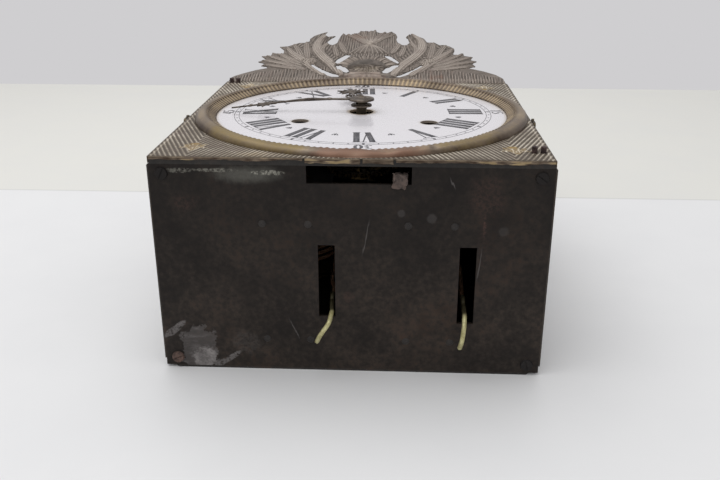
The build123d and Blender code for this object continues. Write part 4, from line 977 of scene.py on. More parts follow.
@dataclass
class BrassFront(EmbossedSheet):
    """Embossed field round the dial with its folded sides, and the hollow ribbed ring."""

    ring_finish: bpy.types.Material | None = None
    half_wide: float = 125.0
    half_tall: float = 124.0
    sheet_z: float = 147.0
    centre: Point = (1.5, 0.0)
    ring_foot: float = 122.5
    pitch: float = 0.72
    rib_pitch: float = 2.9
    rib_lean: float = 22.0
    ring_ribs: int = 176
    pins: tuple[Point, ...] = ((-119.8, 119.0), (-114.2, 119.0), (114.2, -105.0), (119.8, -105.0))
    palmettes: tuple[Point, ...] = ((-101.0, -102.0), (103.0, -102.0), (-101.0, 102.0), (103.0, 102.0))

    def room(self, x: np.ndarray, y: np.ndarray) -> np.ndarray:
        """Gives how far points lie inside the field round the ring, clear of the pins.

        Args:
            x: First coordinates of the points.
            y: Second coordinates of the points.

        Returns:
            The distance to the nearest edge, below zero outside.
        """
        depth = np.minimum(self.half_wide - np.abs(x), self.half_tall - np.abs(y))
        depth = np.minimum(depth, np.hypot(x - self.centre[0], y - self.centre[1]) - self.ring_foot + 0.5)
        for pin_x, pin_y in self.pins:
            depth = np.minimum(depth, np.hypot(x - pin_x, y - pin_y) - 1.86)
        return depth

    def relief(self, x: np.ndarray, y: np.ndarray) -> tuple[np.ndarray, np.ndarray, np.ndarray]:
        """Works out the field's embossing.

        Args:
            x: First coordinates of the points.
            y: Second coordinates of the points.

        Returns:
            The height in millimetres, the golden tone and where no dots are.
        """
        lean = math.radians(self.rib_lean)
        away = np.abs(np.abs(x) - 101)
        phase = away * math.cos(lean) - y * math.sin(lean)
        height = 0.16 + 0.16 * np.cos(2 * math.pi * phase / self.rib_pitch)
        tone = np.full(x.shape, 0.5)
        plain = np.zeros(x.shape)
        for middle_x, middle_y in self.palmettes:
            up = 1 if middle_y < 0 else -1
            for tip_x, tip_y, width in ((-7.5, 6.5, 3.6), (0.0, 10.0, 4.2), (7.5, 6.5, 3.6),
                                        (-9.5, -1.5, 3.0), (9.5, -1.5, 3.0)):
                spine = [(middle_x, middle_y - up * 8), (middle_x + tip_x * 0.35, middle_y - up * 1),
                         (middle_x + tip_x, middle_y + up * tip_y)]
                lobe = Leaf(spine, width, 0.62, 0.25, 9.0).height(x, y)[0]
                height = np.maximum(height, np.where(lobe > 0.36, 0.12 + 0.4 * (lobe - 0.36), lobe + 0.36))
                plain = np.maximum(plain, lobe > 0)
                tone = np.maximum(tone, 0.5 + 0.22 * (lobe > 0.1))
            tip = mound(x, y, (middle_x - 1, middle_y + up * 7), 3.5, 3.0)
            tone = np.maximum(tone, 0.5 + 0.5 * tip)
        side = np.exp(-(((np.abs(x) - self.half_wide + 2.6) / 0.7) ** 2))
        height = np.maximum(height, 0.5 * side)
        stray = mound(x, y, (-62, -118), 26, 10)
        tone = np.maximum(tone, 0.5 + 0.12 * stray)
        return height, tone, plain

    def build_field(self) -> None:
        """Builds the field round the ring with its thickness."""
        corner = (self.half_wide, self.half_tall)
        shape = self.cut((-self.half_wide, -self.half_tall), corner, self.pitch, self.room)
        flat = points_of(shape)
        height, tone, plain = self.relief(flat[:, 0], flat[:, 1])
        depth = self.room(flat[:, 0], flat[:, 1])
        height *= ease(depth, 0.0, 1.0)
        ripple = noise_at(flat[:, 0] * 0.03, flat[:, 1] * 0.05, 2.0)
        height += 0.12 * (ripple + 1) * ease(depth, 0.0, 4.0)
        flat[:, 2] = self.sheet_z + self.thickness + height * 0.9
        put_points(shape, flat)
        values = {"relief": np.clip(height / 0.9, 0, 1), "tone": tone, "plain": plain}
        piece = self.builder.place(shape, "embossed_field", "root", self.finish, Slot.EMBOSSED,
                                   ("dial_surround",), turn_out=False, merge=0, values=values)
        self.builder.thicken(piece, self.thickness * 0.9)

    def build_folds(self) -> None:
        """Builds the folded sides and the torn strip along the front edge."""
        shape = bmesh.new()
        for side in (-1, 1):
            grid = bmesh.ops.create_grid(
                shape, x_segments=240, y_segments=6, size=0.5,
                matrix=Matrix(((0, 0, side, side * self.half_wide), (2 * self.half_tall, 0, 0, 0),
                               (0, 4.6, 0, 145.4), (0, 0, 0, 1))))["verts"]
            for vert in grid:
                low = (147.7 - vert.co.z) / 4.6
                wobble = noise.noise(Vector((side * 3.0, vert.co.y * 0.035, 1.5)))
                vert.co.x += side * (0.04 * wobble - 0.02) - side * 0.1
                vert.co.z += low * (0.5 + 0.5 * wobble) * 0.8
            holed = {face for vert in grid for face in vert.link_faces
                     if math.hypot(vert.co.y + 12, vert.co.z - 145) < 1.7}
            bmesh.ops.delete(shape, geom=list(holed), context="FACES")
        for start, end, drop, seed in ((-124.4, -29.0, 1.7, 1.0), (-27.6, 6.4, 2.9, 5.0),
                                       (7.8, 26.6, 3.2, 9.0), (28.2, 124.4, 2.1, 12.0)):
            steps = max(8, round((end - start) / 1.2))
            grid = bmesh.ops.create_grid(
                shape, x_segments=steps, y_segments=5, size=0.5,
                matrix=Matrix(((end - start, 0, 0, (start + end) / 2), (0, 0, -1, -self.half_tall - 0.2),
                               (0, 3.4, 0, 146.0), (0, 0, 0, 1))))["verts"]
            for vert in grid:
                low = (147.7 - vert.co.z) / 3.4
                wobble = noise.noise(Vector((vert.co.x * 0.05, seed, 0.5)))
                fine = noise.noise(Vector((vert.co.x * 0.35, seed, 4.5)))
                vert.co.z = 147.7 - low * (drop + 0.9 * wobble + 0.35 * fine)
                vert.co.y -= low * low * (0.5 + 0.5 * wobble)
        places = points_of(shape)
        rough = noise_at(places[:, 0] * 0.2, places[:, 1] * 0.2, places[:, 2])
        front = places[:, 1] < -self.half_tall + 0.1
        flaked = noise_at(places[:, 0] * 0.09, 3.0, places[:, 2] * 0.8)
        paler = ease(places[:, 0], -30, -27) * ease(places[:, 0], 2, -1) + ease(places[:, 0], 76, 80)
        paler = np.clip(paler + ease(places[:, 0], -105, -103) * ease(places[:, 0], -95, -97), 0, 1)
        paler *= front * ease(flaked, -0.1, 0.15) * ease(places[:, 2], 147.4, 147.0)
        values = {"relief": np.clip(0.24 + 0.3 * rough + 0.22 * (places[:, 2] > 147.2) + 0.6 * paler, 0, 1),
                  "tone": 0.5 + 0.28 * paler}
        piece = self.builder.place(shape, "folded_edges", "root", self.ring_finish or self.finish,
                                   Slot.EMBOSSED, turn_out=False, merge=0, values=values)
        self.builder.thicken(piece, 0.35, 0.0)

    def build_ring(self) -> None:
        """Builds the hollow ring: a smooth roll outside, a ribbed slope inside and a scalloped lip."""
        roll = []
        for step in range(15):
            angle = math.radians(180 - step * 180 / 14)
            rise = math.sin(angle)
            foot = 147.8 + (152.6 - 147.8) * step / 14
            roll.append((117.5 - 5.0 * math.cos(angle), foot + 3.6 * rise * (1 - 0.15 * step / 14)))
        slope = [(112.5 - 5.0 * step / 8, 152.6 - 3.1 * step / 8) for step in range(1, 9)]
        back = [(107.5, 148.75), (110.4, 150.7), (113.2, 151.8), (117.5, 152.9), (121.4, 150.6),
                (121.8, 147.0), (122.5, 147.0)]
        shape = bmesh.new()
        turned(shape, roll + slope + back, self.centre, 6 * self.ring_ribs)
        places = points_of(shape)
        x, y = places[:, 0] - self.centre[0], places[:, 1] - self.centre[1]
        reach, angle = np.hypot(x, y), np.arctan2(y, x)
        rib = np.cos(self.ring_ribs * angle)
        top = (places[:, 2] > 149.2 + (reach - 107.5) * 0.55) & (reach < 115.8)
        on_slope = ease(reach, 115.6, 113.4) * top
        lift = on_slope * (0.30 * rib - 0.12)
        scallop = ease(reach, 109.0, 107.4) * (0.45 * rib + 0.1) * on_slope
        torn = noise_at(angle * 9.0, reach * 0.16, 3.0)
        dented = np.exp(-(((x - 8) / 36) ** 4)) * (y < -90) * ease(reach, 109.0, 113.5)
        lift -= dented * (0.5 + 1.1 * np.maximum(torn, -0.3)) * (places[:, 2] > 148.5)
        nail = mound(x, y, (49.5, -107.5), 2.6, 3.0)
        lift -= 0.9 * nail
        wave = noise_at(np.cos(angle) * 5, np.sin(angle) * 5, reach * 0.08)
        lift += 0.35 * wave * ease(reach, 108.0, 114.0) * ease(reach, 122.4, 120.0)
        sunk = 0.3 * ease(-np.sin(angle), 0.35, 0.95)
        lift -= sunk * np.maximum(places[:, 2] - 147.8, 0)
        pull = (reach + scallop) / reach
        places[:, 0] = self.centre[0] + x * pull
        places[:, 1] = self.centre[1] + y * pull
        places[:, 2] += lift
        put_points(shape, places)
        lower = np.degrees(angle) % 360
        smooth = ease(reach, 112.6, 114.5)
        golden = ease(lower, 205, 222) * ease(lower, 262, 250) * smooth
        golden = np.maximum(golden, 0.7 * ease(lower, 292, 300) * ease(lower, 330, 312) * smooth)
        golden *= 0.55 + 0.45 * ease(reach, 120.5, 118.5) * ease(reach, 113.5, 116.0)
        slopes = on_slope * (0.28 + 0.3 * (rib > 0))
        copper = np.maximum(dented, 0.35 * ease(lower, 20, 60) * ease(lower, 170, 120) * smooth)
        tone = np.clip(0.5 + 0.48 * golden + 0.22 * slopes - 0.5 * copper * (1 - golden), 0, 1)
        far = ease(np.sin(angle), 0.2, 0.8)
        # Painted shade on the roll's flanks: darker at its outer foot and where its inner side meets the
        # ribbed slope, leaving its top bright.
        roll_flank_shade = ease(reach, 119.6, 122.0) + 0.6 * ease(reach, 116.5, 113.5) * ease(reach, 111.5, 113.0)
        relief = 0.5 + on_slope * (0.36 - 0.18 * far) * rib + smooth * 0.05 - 0.35 * nail
        relief += 0.25 * wave - 0.3 * roll_flank_shade + 0.5 * dented * torn
        self.builder.place(shape, "dial_ring", "root", self.ring_finish or self.finish, Slot.EMBOSSED,
                           merge=0, values={"relief": np.clip(relief, 0, 1), "tone": tone})

    def build(self) -> None:
        """Builds the whole brass front."""
        self.build_field()
        self.build_folds()
        self.build_ring()


# Crest


@dataclass
class Crest(EmbossedSheet):
    """The pierced repousse crest that leans forward from the top edge."""

    foot_y: float = 124.0
    foot_z: float = 147.0
    lean: float = 13.0
    pitch: float = 0.68
    outline: list[Point] = field(default_factory=lambda: [
        (-124, 0), (-123.5, 8), (-120, 13), (-113, 19), (-103, 26.5), (-97, 29.5), (-92.5, 31.5), (-95, 34.5),
        (-100, 36.5), (-96, 41.5), (-104.5, 46), (-97, 52), (-103, 60), (-94, 61.5), (-93.5, 69.5),
        (-86, 65.5), (-82.5, 68), (-83, 76), (-88.5, 84.5), (-80, 86.5), (-74.5, 92), (-70, 95.5),
        (-65, 96), (-60.5, 100), (-60.5, 107), (-57, 115), (-51.5, 121), (-44.5, 127), (-46.5, 117.5),
        (-44.5, 112.5), (-35, 115.5), (-39.5, 107.5), (-42.5, 100), (-41.5, 92.5), (-36.5, 90.5),
        (-32.5, 96), (-31.5, 106), (-30.5, 113.5), (-28, 123.5), (-25, 117.5), (-22, 122), (-20, 118.5),
        (-16.5, 123.5), (-13.5, 121.5), (-10.5, 130.5), (-7.5, 128), (-5, 131), (-2, 128.5), (0.5, 131),
        (2, 130), (4.5, 135), (6, 127), (11, 123.5), (14.5, 128), (17, 123.5), (21, 128.5), (25.5, 121.5),
        (27, 114), (26, 106), (27.5, 98), (31.5, 92), (35.5, 90.5), (39, 97), (37.5, 108), (35.5, 113),
        (39, 121.5), (43.5, 118.5), (47.5, 115.5), (53.5, 109.5), (56.5, 99), (64, 98.5), (68.5, 92),
        (73, 92.5), (78, 89), (82.5, 82.5), (82.5, 76.5), (80.5, 68.5), (84.5, 65.5), (90.5, 71.5),
        (91, 64.5), (99, 61.5), (96.5, 54), (102, 51), (97.5, 44.5), (100, 38.5), (93.5, 34.5), (99, 31.5),
        (106.5, 27.5), (116.5, 20), (122.5, 11.5), (124, 0)])
    holes: list[list[Point]] = field(default_factory=lambda: [
        [(-53, 41.5), (-49, 38), (-42, 29), (-34, 22), (-26, 15.5), (-25.5, 12.5), (-32, 12.5), (-40, 18),
         (-47, 27), (-52.5, 36)],
        [(-32.5, 41), (-29.5, 54), (-22, 65.5), (-16.5, 64.5), (-21.5, 54), (-26.5, 45)],
        [(-30, 38.5), (-27, 26.5), (-19, 22), (-16.5, 25.5), (-20, 33.5), (-26, 39)],
        [(15, 64.5), (20.5, 63), (26, 54), (29.5, 47.5), (27.5, 44.5), (22, 51), (16.5, 59)],
        [(13.5, 26), (18, 34), (26, 41.5), (29.5, 41.5), (26.5, 32), (18.5, 21.5), (14.5, 22)],
        [(26, 13), (35, 22.5), (43.5, 31.5), (49, 40), (52, 38), (45, 27.5), (37, 18), (30, 12.5)]])

    def room(self, x: np.ndarray, y: np.ndarray) -> np.ndarray:
        """Gives how far points lie inside the outline and outside the holes.

        Args:
            x: First coordinates of the points.
            y: Second coordinates of the points.

        Returns:
            The distance to the nearest edge, below zero outside.
        """
        depth = inside_by(self.outline, x, y)
        for hole in self.holes:
            depth = np.minimum(depth, -inside_by(hole, x, y))
        return depth

    def leaves(self) -> list[Leaf]:
        """Lists the leaves of both halves and of the crown.

        Returns:
            The leaves, in the order in which they are laid over each other.
        """
        drawn = []
        for side in (-1, 1):
            tall = [(24, 15), (31, 34), (43, 56), (51, 78), (50, 100), (41, 119 if side > 0 else 125)]
            inner = [(36, 40), (43, 60), (46, 78), (42, 92), (38 if side > 0 else 36, 111)]
            outer = [(40, 15), (52, 34), (64, 52), (74, 66), (81, 79 if side > 0 else 82)]
            drawn += [Leaf([(side * x, y) for x, y in tall], 12, 2.6, 0.7, 3.4),
                      Leaf([(side * x, y) for x, y in inner], 6, 1.9, 0.5),
                      Leaf([(side * x, y) for x, y in outer], 11, 2.3, 0.7, 3.2)]
            for start, bend, tip, width in (((58, 55), (61, 78), (63, 97), 9),
                                            ((62, 52), (69, 74), (75, 91), 8),
                                            ((64, 42), (80, 58), (90, 70), 8),
                                            ((62, 36), (82, 50), (98, 60), 8),
                                            ((60, 30), (82, 42), (102, 49), 8),
                                            ((58, 27), (80, 33), (99, 38), 7),
                                            ((30, 60), (33, 76), (35, 90), 6),
                                            ((22, 68), (27, 84), (30, 98), 7)):
                drawn.append(Leaf([(side * x, y) for x, y in (start, bend, tip)], width, 1.5, 0.45, lobe=0.1))
        for tip_x, tip_y, width in ((-28, 122, 7), (-21, 121, 6), (-15, 122.5, 6), (-8, 129.5, 7),
                                    (0, 130, 6), (4.5, 134, 5), (11, 123, 6), (15, 127, 6), (21, 127.5, 7),
                                    (26, 119, 6)):
            drawn.append(Leaf([(tip_x * 0.05, 90), (tip_x * 0.5, 108), (tip_x, tip_y)], width, 1.3, 0.4, 4.0))
        for tip_x in (-19, -14, -9, -4, 4, 9, 14, 19):
            drawn.append(Leaf([(tip_x * 0.15, 90), (tip_x * 0.6, 80), (tip_x, 66)], 4.6, 1.1, 0.3, 4.0))
        return drawn

    def relief(self, x: np.ndarray, y: np.ndarray) -> tuple[np.ndarray, np.ndarray, np.ndarray, np.ndarray]:
        """Works out the crest's embossing.

        Args:
            x: First coordinates of the points.
            y: Heights above the foot.

        Returns:
            The height in millimetres, the golden or copper tone, the distance across the fine stripes and
            how far the brass is rubbed bright, with a painted highlight on the dome.
        """
        tone = np.full(x.shape, 0.5)
        spread = np.arctan2(x, y - 20)
        height = 0.25 + 0.2 * np.cos(spread * 74) * ease(y, 48, 60)
        band_top = 36 - 0.0026 * np.maximum(np.abs(x) - 20, 0) ** 2
        band = ease(y, band_top + 1, band_top - 1) * ease(np.abs(x), 30, 44)
        hatch = 0.55 + 0.45 * np.cos(2 * math.pi * (x - 0.12 * y * np.sign(x)) / 3.3)
        height = height * (1 - band) + band * hatch
        tone -= 0.1 * band * (np.cos(2 * math.pi * x / 9.7) > 0.75)
        grain = spread * np.maximum(y - 20, 4) * 0.55
        grain = np.where(band > 0.5, x * 0.5, grain)
        for leaf in self.leaves():
            raised, stripes = leaf.height(x, y)
            grain = np.where(raised > height, stripes, grain)
            height = np.maximum(height, raised)
        away = np.hypot(x + 0.5, y - 32)
        turn = np.arctan2(y - 32, x + 0.5)
        arc = (away > 18) & (away < 30) & (y > 30)
        ribs = 0.95 + 0.75 * np.cos(turn * 40) - 0.025 * (away - 24) ** 2
        height = np.where(arc, ribs, height)
        grain = np.where(arc, turn * 12, grain)
        dome = (away < 17.6) & (y > 31)
        height = np.where(dome, 1.0 + 3.4 * np.sqrt(np.clip(1 - (away / 18) ** 2, 0, 1)), height)
        cup = (away < 12) & (y <= 31) & (y > 21)
        height = np.where(cup, 0.9 + 0.7 * np.cos(turn * 30), height)
        tone = np.where(cup, 0.62, tone)
        foot = (np.abs(x + 2) < 19 - 0.25 * y) & (y < 21)
        height = np.where(foot, 1.2 + 0.5 * np.cos(y * 0.9), height)
        tone = np.where(foot | ((np.abs(x + 4) < 22) & (y < 15)), 0.36, tone)
        for middle_x, middle_y, size in ((56, 45, 7.5), (-56, 45, 7.5), (0, 94, 4.5)):
            near = np.hypot(x - middle_x, y - middle_y)
            wound = near * 2.0 + np.sign(middle_x) * np.arctan2(y - middle_y, x - middle_x)
            coil = 1.9 - 0.08 * near + 0.6 * np.cos(wound)
            height = np.where(near < size, np.maximum(coil, height * 0.4), height)
        rope = np.abs(y - 5.0) < 2.6
        height = np.where(rope & (np.abs(x) < 112), 0.9 + 0.45 * np.cos(2 * math.pi * (x + y) / 3.1), height)
        rust = mound(x, y, (-14, 112), 16, 14) + mound(x, y, (62, 12), 8, 9)
        tone = np.clip(tone - 0.2 * rust, 0, 1)
        bright = np.clip(0.26 + 0.16 * height, 0, 0.66)
        # The dome keeps one level, with a painted highlight left of and beyond its middle.
        bright = np.where(dome, 0.3 + 0.1 * mound(x, y, (-5, 42), 6, 5), bright)
        return height, tone, np.where(dome, 3.0, grain), bright

    def build(self) -> None:
        """Builds the crest in place of its plain CAD sheet."""
        shape = self.cut((-124.2, 0.0), (124.2, 135.0), self.pitch, self.room)
        flat = points_of(shape)
        x, rise = flat[:, 0].copy(), flat[:, 1].copy()
        height, tone, grain, bright = self.relief(x, rise)
        depth = self.room(x, rise)
        uneven = noise_at(x * 0.4, rise * 0.4, 7.0)
        height = np.maximum(height, 0.0) + 0.12 * uneven + 0.12
        height *= ease(depth, -0.1, 1.6)
        height = np.minimum(height, 0.2 + 0.11 * np.maximum(135 - rise, 0))
        lean = math.radians(self.lean)
        lift = self.thickness + height
        flat[:, 1] = self.foot_y + 0.1 + rise * math.cos(lean) - lift * math.sin(lean)
        flat[:, 1] = np.maximum(flat[:, 1], self.foot_y)
        flat[:, 2] = self.foot_z + rise * math.sin(lean) + lift * math.cos(lean)
        put_points(shape, flat)
        values = {"relief": bright, "tone": tone, "grain": grain}
        piece = self.builder.place(shape, "embossed_crest", "root", self.finish, Slot.EMBOSSED, ("crest",),
                                   turn_out=False, merge=0, values=values)
        self.builder.thicken(piece, 0.7)


# Dial print


@dataclass
class DialPrint:
    """Numerals, minute track and small flowers fired onto the enamel."""

    builder: PieceBuilder
    finish: bpy.types.Material
    centre: Point = (2.3, 1.6)
    turn: float = 2.8
    rim: float = 110.5
    rim_z: float = 148.4
    crown_z: float = 149.1
    inner: float = 64.6
    outer: float = 89.0
    lift: float = 0.09
    bore: float = 9.0
    strokes: dict[str, tuple[tuple[float, float, float], ...]] = field(default_factory=lambda: {
        "I": ((0.0, 0.0, 4.2),),
        "V": ((0.0, -3.2, 3.9), (0.2, 3.1, 0.9)),
        "X": ((5.2, -5.2, 4.2), (-5.2, 5.2, 0.9))})
    serifs: dict[str, tuple[tuple[float, bool], ...]] = field(default_factory=lambda: {
        "I": ((0.0, False), (0.0, True)),
        "V": ((-3.2, True), (3.1, True)),
        "X": ((5.2, False), (-5.2, False), (-5.2, True), (5.2, True))})
    letter_room: dict[str, float] = field(default_factory=lambda: {"I": 6.0, "V": 8.9, "X": 11.2})

    def level(self, reach: float) -> float:
        """Gives the enamel's height at a distance from the dial's centre."""
        share = (self.rim - reach) / (self.rim - self.bore)
        return self.rim_z + (self.crown_z - self.rim_z) * (2 * share - share * share)

    def spot(self, shape: bmesh.types.BMesh, across: float, reach: float,
             bearing: float) -> bmesh.types.BMVert:
        """Adds one point of the print.

        Args:
            shape: Shape that gets the point.
            across: Distance to the left of the outward line.
            reach: Distance out from the centre.
            bearing: Direction of the outward line in radians.

        Returns:
            The point, a hair above the enamel.
        """
        x = reach * math.cos(bearing) - across * math.sin(bearing)
        y = reach * math.sin(bearing) + across * math.cos(bearing)
        return shape.verts.new((self.centre[0] + x, self.centre[1] + y,
                                self.level(math.hypot(x, y)) + self.lift))

    def ribbon(self, shape: bmesh.types.BMesh, line: list[Point], widths: list[float],
               bearing: float) -> None:
        """Lays a ribbon of changing width along a line.

        Args:
            shape: Shape that gets the faces.
            line: Points as distance across and distance out.
            widths: Width of the ribbon at each point, across the numeral.
            bearing: Direction of the outward line in radians.
        """
        pairs = []
        for number, (across, reach) in enumerate(line):
            ahead = Vector(line[min(number + 1, len(line) - 1)]) - Vector(line[max(number - 1, 0)])
            normal = Vector((-ahead.y, ahead.x)).normalized() * widths[number] / 2
            pairs.append((self.spot(shape, across + normal.x, reach + normal.y, bearing),
                          self.spot(shape, across - normal.x, reach - normal.y, bearing)))
        for (left, right), (next_left, next_right) in zip(pairs, pairs[1:]):
            shape.faces.new((left, right, next_right, next_left))

    def numeral(self, shape: bmesh.types.BMesh, letters: str, bearing: float) -> None:
        """Prints one hour numeral, its foot towards the centre.

        Args:
            shape: Shape that gets the faces.
            letters: Its strokes, I, V or X.
            bearing: Direction of the numeral in radians.
        """
        along = sum(self.letter_room[letter] for letter in letters) / 2
        middle = self.inner + (self.outer - self.inner) / 2
        for letter in letters:
            along -= self.letter_room[letter] / 2
            for foot, head, width in self.strokes[letter]:
                line = [(along - foot, self.inner), (along - (foot + head) / 2, middle),
                        (along - head, self.outer)]
                self.ribbon(shape, line, [width] * 3, bearing)
            for end, top in self.serifs[letter]:
                reach = self.outer if top else self.inner
                line = [(along - end - 2.6, reach), (along - end + 2.6, reach)]
                self.ribbon(shape, line, [0.7, 0.7], bearing)
            along -= self.letter_room[letter] / 2

    def band(self, shape: bmesh.types.BMesh, reach: float, width: float) -> None:
        """Prints a thin circle.

        Args:
            shape: Shape that gets the faces.
            reach: Its radius.
            width: Width of its line.
        """
        pairs = []
        for number in range(360):
            bearing = math.radians(number)
            pairs.append((self.spot(shape, 0, reach + width / 2, bearing),
                          self.spot(shape, 0, reach - width / 2, bearing)))
        for (left, right), (next_left, next_right) in zip(pairs, pairs[1:] + pairs[:1]):
            shape.faces.new((left, right, next_right, next_left))

    def flower(self, shape: bmesh.types.BMesh, reach: float, bearing: float, size: float) -> None:
        """Prints a small lily between two numerals.

        Args:
            shape: Shape that gets the faces.
            reach: Distance of its middle from the centre.
            bearing: Its direction in radians.
            size: Its height.
        """
        self.ribbon(shape, [(0, reach - size / 2), (0, reach), (0, reach + size / 2)],
                    [0.3, 1.3 * size / 4, 0.2], bearing)
        for side in (-1, 1):
            petal = [(0.1 * side, reach - size * 0.35), (side * size * 0.3, reach),
                     (side * size * 0.42, reach + size * 0.3), (side * size * 0.26, reach + size * 0.42)]
            self.ribbon(shape, petal, [0.3, 0.75, 0.8, 0.2], bearing)
        tie = [(-size * 0.3, reach - size * 0.2), (size * 0.3, reach - size * 0.2)]
        self.ribbon(shape, tie, [0.5, 0.5], bearing)

    def digits(self, shape: bmesh.types.BMesh, number: str, bearing: float) -> None:
        """Prints the small minute numbers outside the track.

        Args:
            shape: Shape that gets the faces.
            number: The digits.
            bearing: Their direction in radians.
        """
        ring = [(1.55 * math.sin(turn), 3.2 * math.cos(turn)) for turn in np.linspace(0, 2 * math.pi, 15)]
        drawn = {
            "0": [(ring, [0.35 + 1.15 * abs(math.sin(turn)) for turn in np.linspace(0, 2 * math.pi, 15)])],
            "1": [([(0, -3.2), (0, 3.2)], [1.4, 1.4]), ([(1.4, 1.9), (0, 3.2)], [0.3, 0.8])],
            "3": [([(1.5, 2.4), (0.3, 3.1), (-1.2, 2.0), (0.2, 0.3)], [0.5, 0.4, 1.3, 0.4]),
                  ([(0.2, 0.3), (-1.5, -1.4), (0.0, -3.1), (1.6, -2.2)], [0.4, 1.4, 0.4, 0.7])],
            "4": [([(-0.9, -3.2), (-0.9, 3.2)], [1.2, 1.2]), ([(-0.7, 3.1), (1.9, -1.2)], [0.4, 0.5]),
                  ([(2.0, -1.2), (-2.0, -1.2)], [0.6, 0.6])],
            "5": [([(-1.4, 3.0), (1.2, 3.0), (1.2, 0.6)], [0.8, 0.6, 0.4]),
                  ([(1.2, 0.4), (-0.4, 0.8), (-1.5, -1.2), (0.0, -3.1), (1.6, -2.3)],
                   [0.4, 0.6, 1.4, 0.4, 0.8])],
            "6": [([(-1.1, 3.0), (1.0, 1.2), (1.5, -1.2), (0.0, -3.1)], [0.5, 0.7, 1.3, 0.4]),
                  ([(1.3, -0.6), (0.0, 0.5), (-1.4, -1.2), (0.0, -3.1)], [0.4, 0.4, 1.3, 0.4])],
        }
        for place, digit in zip((3.3, -3.3), number):
            for line, widths in drawn[digit]:
                spread = [(place + 1.35 * across, 100.6 + 1.3 * out) for across, out in line]
                self.ribbon(shape, spread, [1.5 * width for width in widths], bearing)

    def build(self) -> None:
        """Builds the whole print."""
        shape = bmesh.new()
        hours = ("XII", "I", "II", "III", "IIII", "V", "VI", "VII", "VIII", "IX", "X", "XI")
        for number, letters in enumerate(hours):
            bearing = math.radians(90 + self.turn - 30 * number)
            self.numeral(shape, letters, bearing)
            self.flower(shape, 72, bearing - math.radians(15), 5.0)
        self.band(shape, 92.0, 0.35)
        self.band(shape, 95.4, 0.35)
        for minute in range(60):
            bearing = math.radians(90 + self.turn - 6 * minute)
            if minute % 5:
                self.ribbon(shape, [(0, 93.1), (0, 94.3)], [0.9, 0.9], bearing)
            else:
                self.ribbon(shape, [(0, 91.6), (0, 93.7), (0, 95.8)], [0.3, 2.1, 0.3], bearing)
        for minute in (15, 30, 45, 60):
            self.digits(shape, str(minute), math.radians(90 + self.turn - 6 * minute))
        for face in shape.faces:
            face.normal_update()
            if face.normal.z < 0:
                face.normal_flip()
        piece = self.builder.place(shape, "dial_print", "root", self.finish, Slot.ENAMEL,
                                   turn_out=False, merge=0)
        self.builder.thicken(piece, 0.02)


# Hands


